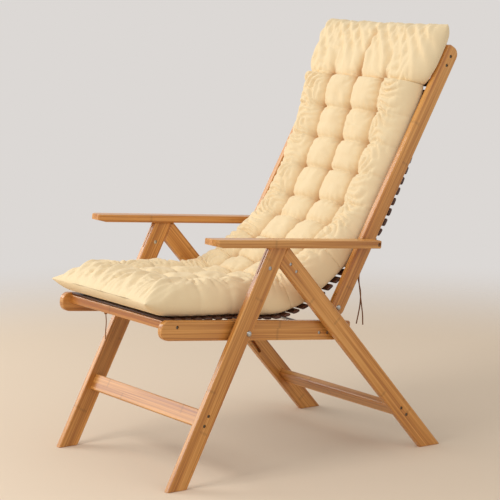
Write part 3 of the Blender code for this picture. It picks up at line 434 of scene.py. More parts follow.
@dataclass
class Shell:
    """A closed surface: vertices, quads, cap polygons, and a cloth map and painted-shade value per vertex."""

    vertices: np.ndarray
    quads: np.ndarray
    caps: list[np.ndarray] = field(default_factory=list)
    cloth: np.ndarray | None = None
    valley: np.ndarray | None = None

    def turned_out(self) -> "Shell":
        """The shell with its faces outwards, by the sign of the volume that its quads enclose."""
        corner = self.vertices[self.quads] - self.vertices.mean(axis=0)
        first = np.einsum("ij,ij->i", corner[:, 0], np.cross(corner[:, 1], corner[:, 2]))
        second = np.einsum("ij,ij->i", corner[:, 0], np.cross(corner[:, 2], corner[:, 3]))
        if first.sum() + second.sum() < 0:
            self.quads = self.quads[:, ::-1]
            self.caps = [cap[::-1] for cap in self.caps]
        return self

    def piece(self, name: str, finish: bpy.types.Material, body: Body | None = None) -> bpy.types.Object:
        """Make the object, smooth-shaded.

        Args:
            name: its name.
            finish: its material.
            body: what it rides on.

        Returns:
            The object.
        """
        mesh = bpy.data.meshes.new(name)
        polygons = self.quads.tolist() + [cap.tolist() for cap in self.caps]
        mesh.from_pydata(self.vertices.tolist(), [], polygons)
        mesh.shade_smooth()
        if self.cloth is not None:
            layer = mesh.uv_layers.new(name="cloth")
            corners = np.empty(len(mesh.loops), dtype=np.int32)
            mesh.loops.foreach_get("vertex_index", corners)
            layer.data.foreach_set("uv", self.cloth[corners].ravel())
        # The per-vertex painted shade goes into a mesh attribute that the cloth's colour reads.
        if self.valley is not None:
            shade_layer = mesh.attributes.new("valley", "FLOAT", "POINT")
            shade_layer.data.foreach_set("value", self.valley.astype(np.float32))
        mesh.materials.append(finish)
        item = bpy.data.objects.new(name, mesh)
        bpy.context.collection.objects.link(item)
        if body is not None:
            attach(item, body.value)
        LOG.info("%s: %d faces", name, len(mesh.polygons))
        return item


def tube_quads(rings: int, count: int) -> np.ndarray:
    """Quads between following rings of equal count, as an array of vertex numbers."""
    ring, spot = np.meshgrid(np.arange(rings - 1), np.arange(count), indexing="ij")
    following = (spot + 1) % count
    return np.stack([ring * count + spot, (ring + 1) * count + spot, (ring + 1) * count + following,
                     ring * count + following], axis=-1).reshape(-1, 4)


def tube(grid: np.ndarray) -> Shell:
    """A closed tube over a (rings, count, 3) grid, with a flat cap at each end."""
    rings, count, _ = grid.shape
    caps = [np.arange(count), np.arange(count)[::-1] + (rings - 1) * count]
    return Shell(grid.reshape(-1, 3), tube_quads(rings, count), caps)


def merged(shells: list[Shell]) -> Shell:
    """Several shells as one; all of them have cloth and painted-shade values, or none has."""
    starts = np.cumsum([0] + [len(shell.vertices) for shell in shells[:-1]])
    caps = [cap + start for shell, start in zip(shells, starts) for cap in shell.caps]
    dressed = shells[0].cloth is not None
    return Shell(np.vstack([shell.vertices for shell in shells]),
                 np.vstack([shell.quads + start for shell, start in zip(shells, starts)]), caps,
                 np.vstack([shell.cloth for shell in shells]) if dressed else None,
                 np.concatenate([shell.valley for shell in shells]) if dressed else None)


def lean(degrees: float) -> np.ndarray:
    """Unit vector in the side plane, leaning rearwards from straight up."""
    return np.array([math.sin(math.radians(degrees)), math.cos(math.radians(degrees))])


@dataclass
class CentreLine:
    """A board's centre line in the side plane; offsets are to the left of its direction."""

    start: np.ndarray
    degrees: float

    def at(self, reach: float, offset: float = 0.0) -> np.ndarray:
        """The point that lies reach along the line and offset to its left."""
        way = lean(self.degrees)
        return self.start + way * reach + np.array([-way[1], way[0]]) * offset

    def grain(self) -> tuple[float, float, float]:
        """The line's direction in the frame's axes."""
        way = lean(self.degrees)
        return 0.0, float(way[0]), float(way[1])

    def breadth(self) -> tuple[float, float, float]:
        """The direction across the board in the side plane, in the frame's axes."""
        way = lean(self.degrees)
        return 0.0, float(-way[1]), float(way[0])


class Route:
    """A smooth line through side-plane points: cubic pieces whose slopes follow the neighbouring points."""

    def __init__(self, places: list[np.ndarray], samples: int = 24) -> None:
        """Work out the line through the places, with so many samples between two of them."""
        knots = np.array(places)
        chords = np.concatenate([[0.0], np.cumsum(np.linalg.norm(np.diff(knots, axis=0), axis=1))])
        slopes = np.gradient(knots, chords, axis=0)
        t = np.linspace(0.0, 1.0, samples, endpoint=False)[None, :, None]
        span = np.diff(chords)[:, None, None]
        here, there = knots[:-1, None, :], knots[1:, None, :]
        leave, arrive = slopes[:-1, None, :], slopes[1:, None, :]
        curve = ((2 * t ** 3 - 3 * t ** 2 + 1) * here + (t ** 3 - 2 * t ** 2 + t) * span * leave
                 + (3 * t ** 2 - 2 * t ** 3) * there + (t ** 3 - t ** 2) * span * arrive)
        self.points = np.vstack([curve.reshape(-1, 2), knots[-1:]])
        steps = np.linalg.norm(np.diff(self.points, axis=0), axis=1)
        self.lengths = np.concatenate([[0.0], np.cumsum(steps)])

    def spot(self, stations: np.ndarray) -> np.ndarray:
        """Points at lengths along the line."""
        return np.stack([np.interp(stations, self.lengths, self.points[:, axis]) for axis in (0, 1)], axis=-1)

    def at(self, stations: np.ndarray, window: float = 0.003) -> tuple[np.ndarray, np.ndarray, np.ndarray]:
        """Points, directions and upward normals.

        Args:
            stations: lengths along the line.
            window: half the length over which a direction is taken.

        Returns:
            Three arrays of (y, z) rows.
        """
        way = self.spot(stations + window) - self.spot(stations - window)
        way = way / np.linalg.norm(way, axis=-1, keepdims=True)
        return self.spot(stations), way, np.stack([-way[..., 1], way[..., 0]], axis=-1)

    def station_of(self, point: np.ndarray) -> float:
        """The length along the line at the place nearest to a point."""
        return float(self.lengths[np.argmin(np.linalg.norm(self.points - point, axis=1))])


@dataclass
class Layout:
    """Centre lines and the sling's route, from the frame's joints and the part's sizes."""

    seat_pivot: np.ndarray
    back_pivot: np.ndarray
    rail_inside: float = 0.235
    rail_outside: float = 0.253
    seat_lean: float = -83.9
    seat_drop: float = 0.0036
    front_bar_reach: float = 0.1964
    front_bar_rise: float = 0.0086
    front_bar_depth: float = 0.046
    front_bar_height: float = 0.022
    back_lean: float = 30.0
    head_bar_reach: float = 0.7205
    board_depth: float = 0.044
    board_thickness: float = 0.018
    slat_thickness: float = 0.007
    slat_width: float = 0.0215
    slat_pitch: float = 0.030
    slat_end_gap: float = 0.004
    seat_slats: int = 13
    crease_lower: int = 5
    crease_upper: int = 4
    gap: float = 0.0003
    low_reach: float = 0.147
    low_rise: float = 0.0345
    back_places: tuple = ((-0.010, 0.059), (0.050, 0.027), (0.130, -0.009), (0.223, -0.041), (0.345, -0.043),
                          (0.4625, -0.034), (0.600, -0.004))
    straight_lead: float = 0.035
    overhang: float = 0.052
    reach_past_top: float = 0.95

    def __post_init__(self) -> None:
        """Place the centre lines and the sling."""
        self.seat = CentreLine(self.seat_pivot, self.seat_lean)
        self.seat.start = self.seat.at(0.0, -self.seat_drop)
        self.back = CentreLine(self.back_pivot, self.back_lean)
        self.head_offset = self.board_thickness / 2 + self.gap + self.slat_thickness / 2
        half_heights = (self.front_bar_height + self.slat_thickness) / 2
        self.bar_lift = -(self.front_bar_rise + half_heights + self.gap)
        self.sling = self.sling_route()

    def sling_route(self) -> Route:
        """The slung mat's centre line, carried on past both bars."""
        bar_front = self.front_bar_reach + self.front_bar_depth / 2
        places = [self.seat.at(bar_front + 2 * self.overhang, self.bar_lift),
                  self.seat.at(bar_front, self.bar_lift), self.seat.at(self.front_bar_reach, self.bar_lift),
                  self.seat.at(bar_front - self.front_bar_depth, self.bar_lift),
                  self.seat.at(0.0, (self.bar_lift - self.low_rise) / 2 - 0.0005),
                  self.seat.at(-self.low_reach, -self.low_rise)]
        places += [self.back.at(reach, offset) for reach, offset in self.back_places]
        bar_foot = self.head_bar_reach - self.board_depth / 2
        places += [self.back.at(bar_foot - self.straight_lead, self.head_offset),
                   self.back.at(bar_foot, self.head_offset),
                   self.back.at(self.head_bar_reach + self.board_depth / 2, self.head_offset),
                   self.back.at(self.reach_past_top, self.head_offset)]
        return Route(places)

    def slat_stations(self) -> np.ndarray:
        """Where the slats' centre lines lie on the sling."""
        bar_front = self.front_bar_reach + self.front_bar_depth / 2
        first = self.sling.station_of(self.seat.at(bar_front - self.slat_width / 2, self.bar_lift))
        last_reach = self.head_bar_reach + self.board_depth / 2 - self.slat_width / 2
        top = self.sling.station_of(self.back.at(last_reach, self.board_thickness))
        return first + self.slat_pitch * np.arange(int((top - first) / self.slat_pitch) + 1)


    def crease_marks(self) -> np.ndarray:
        """Stations where the mat's bend starts, where it follows the hinge, and where the bend ends."""
        counts = self.seat_slats + np.array([0, self.crease_lower, self.crease_lower + self.crease_upper])
        return self.slat_stations()[0] + self.slat_pitch * (counts - 0.5)


# Sub-assemblies

@dataclass
class Boards:
    """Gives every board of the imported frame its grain."""

    layout: Layout
    front_leg_lean: float = 27.76
    rear_leg_lean: float = -40.85
    arm_lean: float = -84.9
    finish: BambooBoard = BambooBoard()

    def dress(self, nodes: dict[str, bpy.types.Object]) -> None:
        """Put a bamboo material on each board.

        Args:
            nodes: the frame's nodes by name.
        """
        sideways = (1.0, 0.0, 0.0)
        lines = {"front_leg": self.front_leg_lean, "rear_leg": self.rear_leg_lean,
                 "seat_rail": self.layout.seat_lean, "back_rail": self.layout.back_lean,
                 "armrest": self.arm_lean}
        for index, (word, degrees) in enumerate(lines.items()):
            line = CentreLine(np.zeros(2), degrees)
            across = sideways if word == "armrest" else line.breadth()
            for side_index, side in enumerate(("left", "right")):
                seed = 3.3 + index * 7.13 + side_index * 3.71
                self.cover(nodes[f"{word}_{side}"], line.grain(), across, seed)
        bars = {"front_stretcher": self.front_leg_lean, "rear_stretcher": self.rear_leg_lean,
                "head_bar": self.layout.back_lean, "seat_front_bar": self.layout.seat_lean}
        for index, (word, degrees) in enumerate(bars.items()):
            self.cover(nodes[word], sideways, CentreLine(np.zeros(2), degrees).grain(), 50.6 + index * 5.37)

    def cover(self, node: bpy.types.Object, along: tuple, across: tuple, seed: float) -> None:
        """Put one board's own material on its node."""
        assign(node, self.finish.material(f"bamboo_{node.name}", along, across, seed))


def assign(node: bpy.types.Object, finish: bpy.types.Material) -> None:
    """Put a material in every slot of a node's object."""
    for material_slot in node.material_slots:
        material_slot.link = "OBJECT"
        material_slot.material = finish


def superellipse(turn: np.ndarray, power: float) -> tuple[np.ndarray, np.ndarray]:
    """A rounded square of half-width 1: sign(cos t) |cos t|^(2/p) and the same with the sine.

    Args:
        turn: angles t.
        power: the exponent p; 2 gives a circle.

    Returns:
        The two places.
    """
    cosine, sine = np.cos(turn), np.sin(turn)
    return np.sign(cosine) * np.abs(cosine) ** (2 / power), np.sign(sine) * np.abs(sine) ** (2 / power)


@dataclass
class SlatMat:
    """The dark slats on pairs of strands that pass over and under them."""

    layout: Layout
    cord_places: tuple[float, ...] = (-0.185, 0.0, 0.185)
    strand_radius: float = 0.0009
    section_steps: int = 16
    section_power: float = 3.4
    end_rounding: float = 0.0022

    def slats(self, stations: np.ndarray) -> Shell:
        """Slats whose section is a superellipse |a|^3.4 + |b|^3.4 = 1, drawn in at both ends.

        Args:
            stations: where they lie on the sling.

        Returns:
            All of them in one shell.
        """
        reach = self.layout.rail_inside - self.layout.slat_end_gap
        turn = np.linspace(0, 2 * math.pi, self.section_steps, endpoint=False)
        a, b = superellipse(turn, self.section_power)
        a = a * self.layout.slat_width / 2
        b = b * self.layout.slat_thickness / 2
        inward = np.array([0.0, 0.3, 1.0])
        fullness = np.array([0.62, 0.88, 1.0])
        x = np.concatenate([-reach + inward * self.end_rounding, reach - inward[::-1] * self.end_rounding])
        size = np.concatenate([fullness, fullness[::-1]])
        spot, way, normal = self.layout.sling.at(stations)
        shape = (way[:, None, None, :] * (a[None, None, :, None] * size[None, :, None, None])
                 + normal[:, None, None, :] * (b[None, None, :, None] * size[None, :, None, None]))
        side = spot[:, None, None, :] + shape
        lateral = np.broadcast_to(x[None, :, None, None], side.shape[:3] + (1,))
        grid = np.concatenate([lateral, side], axis=-1)
        return merged([tube(one).turned_out() for one in grid])

    def strands(self, first: float, last: float) -> Shell:
        """Two strands at each cord place; their height is a cosine of opposite sign, crossing between slats.

        Args:
            first: where they start on the sling.
            last: where they end.

        Returns:
            All of them in one shell.
        """
        steps = max(8, int((last - first) / self.layout.slat_pitch * 10))
        stations = np.linspace(first, last, steps)
        spot, way, normal = self.layout.sling.at(stations)
        origin = self.layout.slat_stations()[0]
        wave = np.cos((stations - origin) / self.layout.slat_pitch * math.pi)
        swing = np.clip(wave * 1.6, -1, 1) * (self.layout.slat_thickness / 2 + self.strand_radius * 0.8)
        turn = np.linspace(0, 2 * math.pi, 6, endpoint=False)
        shells = []
        for place in self.cord_places:
            for sign in (1.0, -1.0):
                centre = spot + normal * (swing * sign)[:, None]
                rise = np.sin(turn) * self.strand_radius
                side = centre[:, None, :] + normal[:, None, :] * rise[None, :, None]
                x = place + sign * self.strand_radius * 1.3 + np.cos(turn) * self.strand_radius
                lateral = np.broadcast_to(x[None, :, None], side.shape[:2] + (1,))
                shells.append(tube(np.concatenate([lateral, side], axis=-1)).turned_out())
        return merged(shells)

    def build(self, wood: bpy.types.Material) -> None:
        """Make the mat in four runs; the two at the crease ride on no body and are not bent with the back."""
        stations = self.layout.slat_stations()
        marks = np.cumsum([0, self.layout.seat_slats, self.layout.crease_lower, self.layout.crease_upper])
        bends = self.layout.crease_marks()
        half = self.layout.slat_pitch / 2
        runs = [("seat_slats", marks[0], marks[1], "seat_slat_mat", Body.SEAT),
                ("crease_slats_lower", marks[1], marks[2], "crease_slat_mat", None),
                ("crease_slats_upper", marks[2], marks[3], "crease_slat_mat", None),
                ("back_slats", marks[3], len(stations), "back_slat_mat", Body.BACK)]
        for name, low, high, node, body in runs:
            own = stations[low:high]
            start = own[0] - (half if low else 0.0)
            end = own[-1] + (half if high < len(stations) else 0.0)
            shell = merged([self.slats(own), self.strands(start, end)])
            item = shell.piece(name, wood, body)
            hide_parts(node)
            if body is None:
                lower = name.endswith("lower")
                pair = (Body.SEAT, Body.HINGE) if lower else (Body.HINGE, Body.BACK)
                bend(item, pair, self.layout.sling, *(bends[:2] if lower else bends[1:]))


def bend(item: bpy.types.Object, pair: tuple[Body, Body], route: Route, first: float, last: float) -> None:
    """Bake a piece's placement into its mesh; it is not bent between the two bodies.

    Args:
        item: the piece.
        pair: not used; the body it would follow at the start, and at the end.
        route: not used; the line it lies on.
        first: not used; where the bend would start on the line.
        last: not used; where the bend would end.
    """
    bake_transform(item)


@dataclass
class Wrinkles:
    """Fixed sets of soft waves, one for each purpose, worked out from a seed."""

    seed: int = 11
    waves: int = 7

    def wave(self, places: np.ndarray, length: float, purpose: int) -> np.ndarray:
        """A sum of sines of like length with fixed random phases, about -1 to 1.

        Args:
            places: where it is wanted, along the seam.
            length: the mean wavelength.
            purpose: picks the phases.

        Returns:
            An array shaped like places.
        """
        draw = np.random.default_rng(self.seed * 101 + purpose)
        total = np.zeros_like(places)
        stretches = draw.uniform(0.62, 1.5, self.waves)
        for stretch, phase in zip(stretches, draw.uniform(0, 2 * math.pi, self.waves)):
            total += np.sin(2 * math.pi * places / (length * stretch) + phase)
        return total / math.sqrt(self.waves)

    def field(self, x: np.ndarray, y: np.ndarray, length: float, purpose: int) -> np.ndarray:
        """A sum of plane waves in fixed random directions, about -1 to 1; the rest is as for wave."""
        draw = np.random.default_rng(self.seed * 211 + purpose)
        total = np.zeros_like(x + y)
        angles, stretches = draw.uniform(0, math.pi, self.waves), draw.uniform(0.7, 1.4, self.waves)
        for angle, stretch, phase in zip(angles, stretches, draw.uniform(0, 2 * math.pi, self.waves)):
            reach = x * math.cos(angle) + y * math.sin(angle)
            total += np.sin(2 * math.pi * reach / (length * stretch) + phase)
        return total / math.sqrt(self.waves)


@dataclass
class Place:
    """Where points of the cushion lie: the nearest tuft's column and row, and the distances from them."""

    x: np.ndarray
    s: np.ndarray
    line: np.ndarray
    row: np.ndarray
    dx: np.ndarray
    dy: np.ndarray
    angle: np.ndarray
    beyond: np.ndarray
    outer: np.ndarray
    end: np.ndarray

    @property
    def away(self) -> np.ndarray:
        """Distance from the nearest tuft."""
        return np.hypot(self.dx, self.dy)


def folds(angle: np.ndarray) -> np.ndarray:
    """Rounded ridges with sharp valleys, -1 to 1: 2 |sin(angle / 2)| - 1."""
    return 2 * np.abs(np.sin(angle / 2)) - 1


@dataclass(frozen=True)
class Gather:
    """One kind of soft waves in the cloth."""

    length: float
    height: float
    purpose: int
    reach: float = 0.012


@dataclass
class Folding:
    """The folds of the cushion's upper cloth, by kind."""

    gathers: Gather = Gather(0.0135, 0.0020, 3)
    tucks: Gather = Gather(0.017, 0.0016, 5)
    ends: Gather = Gather(0.018, 0.0042, 9, 0.055)
    upright: Gather = Gather(0.060, 0.0034, 21, 0.03)
    broad: Gather = Gather(0.085, 0.0016, 13)
    patches: Gather = Gather(0.11, 0.0022, 29)
    small_length: float = 0.040
    small_purpose: int = 17
    sewn_width: float = 0.002
    star_count: int = 7
    star_height: float = 0.0036
    star_reach: float = 0.024
    star_core: float = 0.004
    fan_count: int = 14
    fan_height: float = 0.0044
    fan_place: float = 0.055
    fan_reach: float = 0.045
    crossing_length: float = 0.052
    slit_depth: float = 0.011
    slit_width: float = 0.006
    slit_slant: float = 0.06
    wrinkles: Wrinkles = field(default_factory=Wrinkles)

    def near_seams(self, at: Place) -> np.ndarray:
        """Short waves that run into every row and column of tufts and die away with distance."""
        wave = self.wrinkles.wave
        row_share = np.exp(-at.dy / self.gathers.reach) * (1 - np.exp(-at.dy / self.sewn_width))
        line_share = np.exp(-at.dx / self.tucks.reach) * (1 - np.exp(-at.dx / self.sewn_width))
        gathers = wave(at.x + at.row * 0.731, self.gathers.length, self.gathers.purpose) * row_share
        tucks = wave(at.s + at.line * 0.37, self.tucks.length, self.tucks.purpose) * line_share
        return self.gathers.height * gathers + self.tucks.height * tucks

    def round_tufts(self, at: Place) -> tuple[np.ndarray, np.ndarray]:
        """Folds in the angle round each tuft: a star at it, and a fan further out in the side columns."""
        bent = at.angle + 0.35 * np.sin(at.away * 55 + at.row * 1.9 + at.line)
        star = folds(bent * self.star_count + at.row * 2.1 + at.line * 1.3)
        star = star + 0.4 * np.cos(at.angle * 13 + at.row * 1.1)
        star = star * np.exp(-at.away / self.star_reach) * (1 - np.exp(-at.away / self.star_core))
        fan = folds(bent * self.fan_count + at.row * 2.7 + 3 * np.sin(at.angle * 2))
        fan = fan * np.exp(-((at.away - self.fan_place) / self.fan_reach) ** 2)
        return star, fan * at.outer * np.where(at.beyond > 0, 0.5, 1.0)

    def at_ends(self, at: Place) -> np.ndarray:
        """Gathers at both ends, and upright waves on the end puffs."""
        ends = self.wrinkles.wave(at.x + at.s * 0.25, self.ends.length, self.ends.purpose)
        bowed = at.x + 0.12 * np.sin(at.s * 9)
        upright = self.wrinkles.wave(bowed, self.upright.length, self.upright.purpose)
        return (self.ends.height * ends * np.exp(-at.end / self.ends.reach)
                + self.upright.height * upright * np.clip(at.beyond / self.upright.reach, 0, 1))

    def on_puffs(self, at: Place) -> np.ndarray:
        """Broad waves, and slanting folds in patches."""
        broad = self.wrinkles.field(at.x, at.s, self.broad.length, self.broad.purpose)
        broad = broad + 0.5 * self.wrinkles.field(at.x, at.s, self.small_length, self.small_purpose)
        slant = at.x * 0.8 + at.s * 0.6 + 0.006 * np.sin(at.s * 31 + at.row)
        crossing = folds(2 * math.pi * slant / self.crossing_length + at.row * 2.3 + at.line)
        patch = np.clip(self.wrinkles.field(at.x, at.s, self.patches.length, self.patches.purpose), 0, 1)
        return self.broad.height * broad + self.patches.height * crossing * patch

    def slit(self, at: Place, past_row: np.ndarray) -> np.ndarray:
        """The deep fold up from the head roll's middle tuft, 0 to 1: a bell across a slanting line."""
        line = self.slit_slant * past_row
        return np.exp(-((at.x - line) / self.slit_width) ** 2) * np.clip(past_row / 0.01, 0, 1)


@dataclass
class Cushion:
    """The tufted cushion, in parts that meet in its sewn valleys."""

    layout: Layout
    half_width: float = 0.2292
    roll_half_width: float = 0.2545
    cell: float = 0.115
    loft: float = 0.086
    roll_loft: float = 0.067
    tuft_loft: float = 0.042
    side_seam: float = 0.017
    end_seam: float = 0.033
    lift: float = 0.0026
    end_puff: float = 0.158
    top_row_reach: float = 0.637
    top_reach: float = 0.793
    row_pitch: float = 0.097
    grid_step: float = 0.0024
    part_gap: float = 0.0006
    front_round: float = 0.085
    top_round: float = 0.046
    side_round: float = 0.050
    under_round: float = 0.024
    roll_corner: float = 0.055
    rail_front: float = 0.0225
    ledge_start: float = 0.216
    ledge_slope: float = 0.014
    pull: float = 0.003
    pull_width: float = 0.05
    ear: float = 0.012
    ear_width: float = 0.030
    tip_reach: float = 0.026
    top_edge_reach: float = 0.022
    edge_fold: float = 0.004
    end_reach: float = 0.05
    corner_reach: float = 0.028
    direction_window: float = 0.012
    channel_fill: float = 0.26
    crease_fade: float = 0.62
    middle_fade: float = 0.13
    side_fade: float = 0.055
    thread_radius: float = 0.0021
    crease_width: float = 0.030
    crease_depth: float = 0.36
    pit_radius: float = 0.017
    pit_depth: float = 0.22
    folded_share: float = 0.35
    folded_lift: float = 0.00602
    folding: Folding = field(default_factory=Folding)

    def __post_init__(self) -> None:
        """Place the rows of tufts on the sling."""
        sling = self.layout.sling
        bar_front = self.layout.front_bar_reach + self.layout.front_bar_depth / 2
        front = self.layout.seat.at(bar_front, -self.layout.front_bar_rise)
        self.tip = sling.station_of(front) - self.layout.overhang
        self.top_row = sling.station_of(self.layout.back.at(self.top_row_reach, self.layout.board_thickness))
        self.top = self.top_row + (self.top_reach - self.top_row_reach)
        rows = round((self.top_row - self.tip - self.end_puff) / self.row_pitch)
        inner = np.linspace(self.tip + self.end_puff, self.top_row, rows + 1)
        self.rows = np.concatenate([[self.tip], inner, [self.top]])
        crease = sling.station_of(self.layout.back.at(*self.layout.back_places[0]))
        self.crease_row = int(np.argmin(np.abs(self.rows - crease)))
        LOG.info("cushion rows %s, crease at row %d", np.round(self.rows, 3), self.crease_row)

    def puff(self, share: np.ndarray, power: float = 2.0) -> np.ndarray:
        """A round puff: (1 - (1 - t)^p)^(1/p), where t grows from 0 at a sewn line to 1 midway on."""
        return np.clip(1 - (1 - np.clip(share, 0, 1)) ** power, 0, 1) ** (1 / power)

    def half(self, s: np.ndarray) -> np.ndarray:
        """Half the width at a station: the head roll widens over its rounded lower corner."""
        widening = self.roll_half_width - self.half_width
        return self.half_width + widening * self.puff((s - self.top_row) / self.roll_corner)

    def place(self, x: np.ndarray, s: np.ndarray) -> Place:
        """The nearest tuft to each point, and the distances from it.

        Args:
            x: places across.
            s: stations along the sling.

        Returns:
            The points' places.
        """
        line = np.clip(np.round(x / self.cell), -1, 1)
        final = len(self.rows) - 2
        index = np.clip(np.searchsorted(self.rows, s, side="right") - 1, 0, final)
        to_low = np.where(index > 0, s - self.rows[index], 1.0)
        to_high = np.where(index < final, self.rows[index + 1] - s, 1.0)
        row = np.where(to_low < to_high, index, index + 1)
        across = (x - line * self.cell) * np.where(x < 0, -1.0, 1.0)
        return Place(x, s, line, row, np.abs(x - line * self.cell), np.minimum(to_low, to_high),
                     angle=np.arctan2(s - self.rows[row], across),
                     beyond=np.clip(np.maximum(self.rows[1] - s, s - self.rows[-2]), 0, None),
                     outer=np.clip((np.abs(x) - self.cell) / (self.cell * 0.4), 0, 1),
                     end=np.minimum(s - self.tip, self.top - s))

    def heights(self, x: np.ndarray, s: np.ndarray) -> tuple[np.ndarray, np.ndarray]:
        """Height of the upper cloth over the slats, and how deep it is drawn in, which sets its painted
        shade.

        Channels run along the cushion through the tufts, deepest at each tuft, and fade past the first and
        last tufts. Shallow creases run across from tuft to tuft, and a small pit, a bell of the distance,
        marks each tuft. The folds are added to that.

        Args:
            x: places across.
            s: stations along the sling.

        Returns:
            Heights and depths from 0 to 1, as arrays of the two places' common shape.
        """
        at = self.place(x, s)
        fading = np.exp(-at.beyond / np.where(at.line == 0, self.middle_fade, self.side_fade))
        across = self.puff(2 * at.dx / self.cell * (1 + 6 * np.clip(at.beyond, 0, 0.12)))
        channel = (1 - across) * (1 - self.channel_fill * self.puff(2 * at.dy / self.row_pitch)) * fading
        crease = (1 - self.puff(at.dy / self.crease_width)) * (1 - self.crease_fade * at.outer)
        pit = np.exp(-(at.away / self.pit_radius) ** 2)
        fullness = (1 - channel) * (1 - self.crease_depth * crease) - self.pit_depth * pit
        loft = np.where(s > self.top_row, self.roll_loft, self.loft)
        star, fan = self.folding.round_tufts(at)
        slit = self.folding.slit(at, s - self.top_row)
        height = self.tuft_loft + (loft - self.tuft_loft) * fullness
        height = height + self.folding.near_seams(at) + self.folding.at_ends(at)
        height = height + self.folding.on_puffs(at) * across
        height = height + self.folding.star_height * star + self.folding.fan_height * fan
        height = height - self.folding.slit_depth * slit
        # Painted shade: the depth grows where the cloth is drawn in and in the slit, less on the star and fan
        # folds; it darkens the cloth.
        depth = np.clip(1 - 1.18 * fullness, 0, 1) ** 1.3
        return height, np.clip(depth - 0.10 * star - 0.10 * fan + 0.5 * slit, 0, 1)

    def part(self, first: int, last: int) -> Shell:
        """The cushion between two of its rows.

        The upper cloth rises from a low seam at the sides as puff(distance / side_round), and from an outer
        end as puff(distance / its rounding). The lower cloth falls from the seam to the slats over a shorter
        distance, and the head roll's lower cloth lies over the fronts of the back rails.

        Args:
            first: the row where it starts.
            last: the row where it ends.

        Returns:
            A closed shell with the tufts' thread knots.
        """
        outer_start, outer_end = first == 0, last == len(self.rows) - 1
        start = self.rows[first] + (0.0 if outer_start else self.part_gap / 2)
        end = self.rows[last] - (0.0 if outer_end else self.part_gap / 2)
        s = self.crowded(np.linspace(0, 1, max(12, int((end - start) / self.grid_step))), start, end)
        quarter = math.pi / 2 * 0.95
        turn = np.linspace(-1, 1, int(2 * self.half_width / self.grid_step)) * quarter
        u = np.sin(turn) / math.sin(quarter)
        under = u[::4][::-1][1:-1]
        half = self.half(s)[:, None]
        top_x, low_x = u[None, :] * half, under[None, :] * half
        grid_s = np.broadcast_to(s[:, None], top_x.shape)
        height, depth = self.heights(top_x, grid_s)
        near_end = np.exp(-np.minimum(s - self.tip, self.top - s) / self.end_reach)[:, None]
        seam = self.side_seam + (self.end_seam - self.side_seam) * near_end
        rise = self.closing(grid_s, top_x, self.side_round, 1.0)
        drop = self.closing(np.broadcast_to(s[:, None], low_x.shape), low_x, self.under_round, 0.8)
        top = seam + (height - seam) * rise
        over_rail = self.rail_front - self.layout.head_offset - self.layout.slat_thickness / 2 - self.lift
        ledge = over_rail * np.clip((np.abs(low_x) - self.ledge_start) / self.ledge_slope, 0, 1)
        ledge = ledge * np.clip((s - self.top_row) / 0.004, 0, 1)[:, None]
        low = np.maximum(seam * (1 - drop), ledge)
        z = np.hstack([np.maximum(top, low[:, :1]), low]) + self.layout.slat_thickness / 2 + self.lift
        x = np.hstack([top_x, low_x])
        stations = np.broadcast_to(s[:, None], x.shape)
        x, drift = self.drawn(x, stations)
        spot, _, normal = self.layout.sling.at(stations + drift, window=self.direction_window)
        side = spot + normal * z[..., None]
        shell = tube(np.concatenate([x[..., None], side], axis=-1))
        around = np.concatenate([u, 2 + (1 - under)]) * self.half_width
        shell.cloth = np.stack(np.broadcast_arrays(around[None, :], s[:, None]), axis=-1).reshape(-1, 2)
        # Painted shade on the upper cloth where it is drawn in, fading out towards the outer seam; none on
        # the lower cloth.
        shell.valley = np.hstack([depth * rise, np.zeros_like(low)]).ravel()
        shell = shell.turned_out()
        knots = self.thread_knots(range(max(first, 1), min(last, len(self.rows) - 1)))
        return merged([shell] + knots)

    def crowded(self, share: np.ndarray, start: float, end: float) -> np.ndarray:
        """Stations drawn towards both ends, for fine steps in the valleys and round the outer ends."""
        return start + (end - start) * (share - 0.13 * np.sin(2 * math.pi * share))

    def closing(self, s: np.ndarray, x: np.ndarray, side_round: float, share: float) -> np.ndarray:
        """How far the cloth has risen from the outer seam.

        Args:
            s: stations.
            x: places across.
            side_round: the distance over which it rises from a side.
            share: the part of the ends' rounding that it takes to rise from them.

        Returns:
            0 at the seam to 1, the product of a puff at the ends and one at the sides.
        """
        front = self.puff((s - self.tip) / (self.front_round * share), 1.6)
        top = self.puff((self.top - s) / (self.top_round * share), 2.3)
        side = self.half(s) - np.abs(x)
        corner = np.where(s > self.top_row, np.exp(-(s - self.top_row) / self.corner_reach), 0.0)
        return front * top * self.puff(side / (side_round * (1 + 0.9 * corner)), 2.1)

    def drawn(self, x: np.ndarray, s: np.ndarray) -> tuple[np.ndarray, np.ndarray]:
        """Pull the outer seam in at each sewn line and out at the corners.

        Args:
            x: places across.
            s: stations.

        Returns:
            The new places across, and how far each point moves along the sling.
        """
        half = self.half(s)
        index = np.clip(np.searchsorted(self.rows, s, side="right") - 1, 0, len(self.rows) - 2)
        span = self.rows[index + 1] - self.rows[index]
        inside = (index > 0) | (s > self.rows[index] + span / 2)
        nearest = np.minimum(s - self.rows[index], self.rows[index + 1] - s)
        line_share = np.where(inside, nearest / span * 2, 1.0)
        slack = 1 - self.puff(line_share)
        side_share = np.clip(1 - (half - np.abs(x)) / self.pull_width, 0, 1)
        column_share = np.abs(x / self.cell - np.round(x / self.cell)) * 2
        column_share = np.where(np.abs(x) > 1.5 * self.cell, 1.0, column_share)
        tip_share = np.exp(-(s - self.tip) / self.tip_reach)
        top_share = np.exp(-(self.top - s) / self.top_edge_reach)
        corner = np.exp(-(half - np.abs(x)) / self.ear_width)
        spread = 0.25 * self.ear * corner * (tip_share + 0.4 * top_share)
        new_x = x + np.sign(x) * (spread - self.pull * slack * side_share)
        fold = self.edge_fold * (1 - self.puff(column_share))
        drift = tip_share * (fold - self.ear * corner) - top_share * (fold - 0.6 * self.ear * corner)
        return new_x, drift

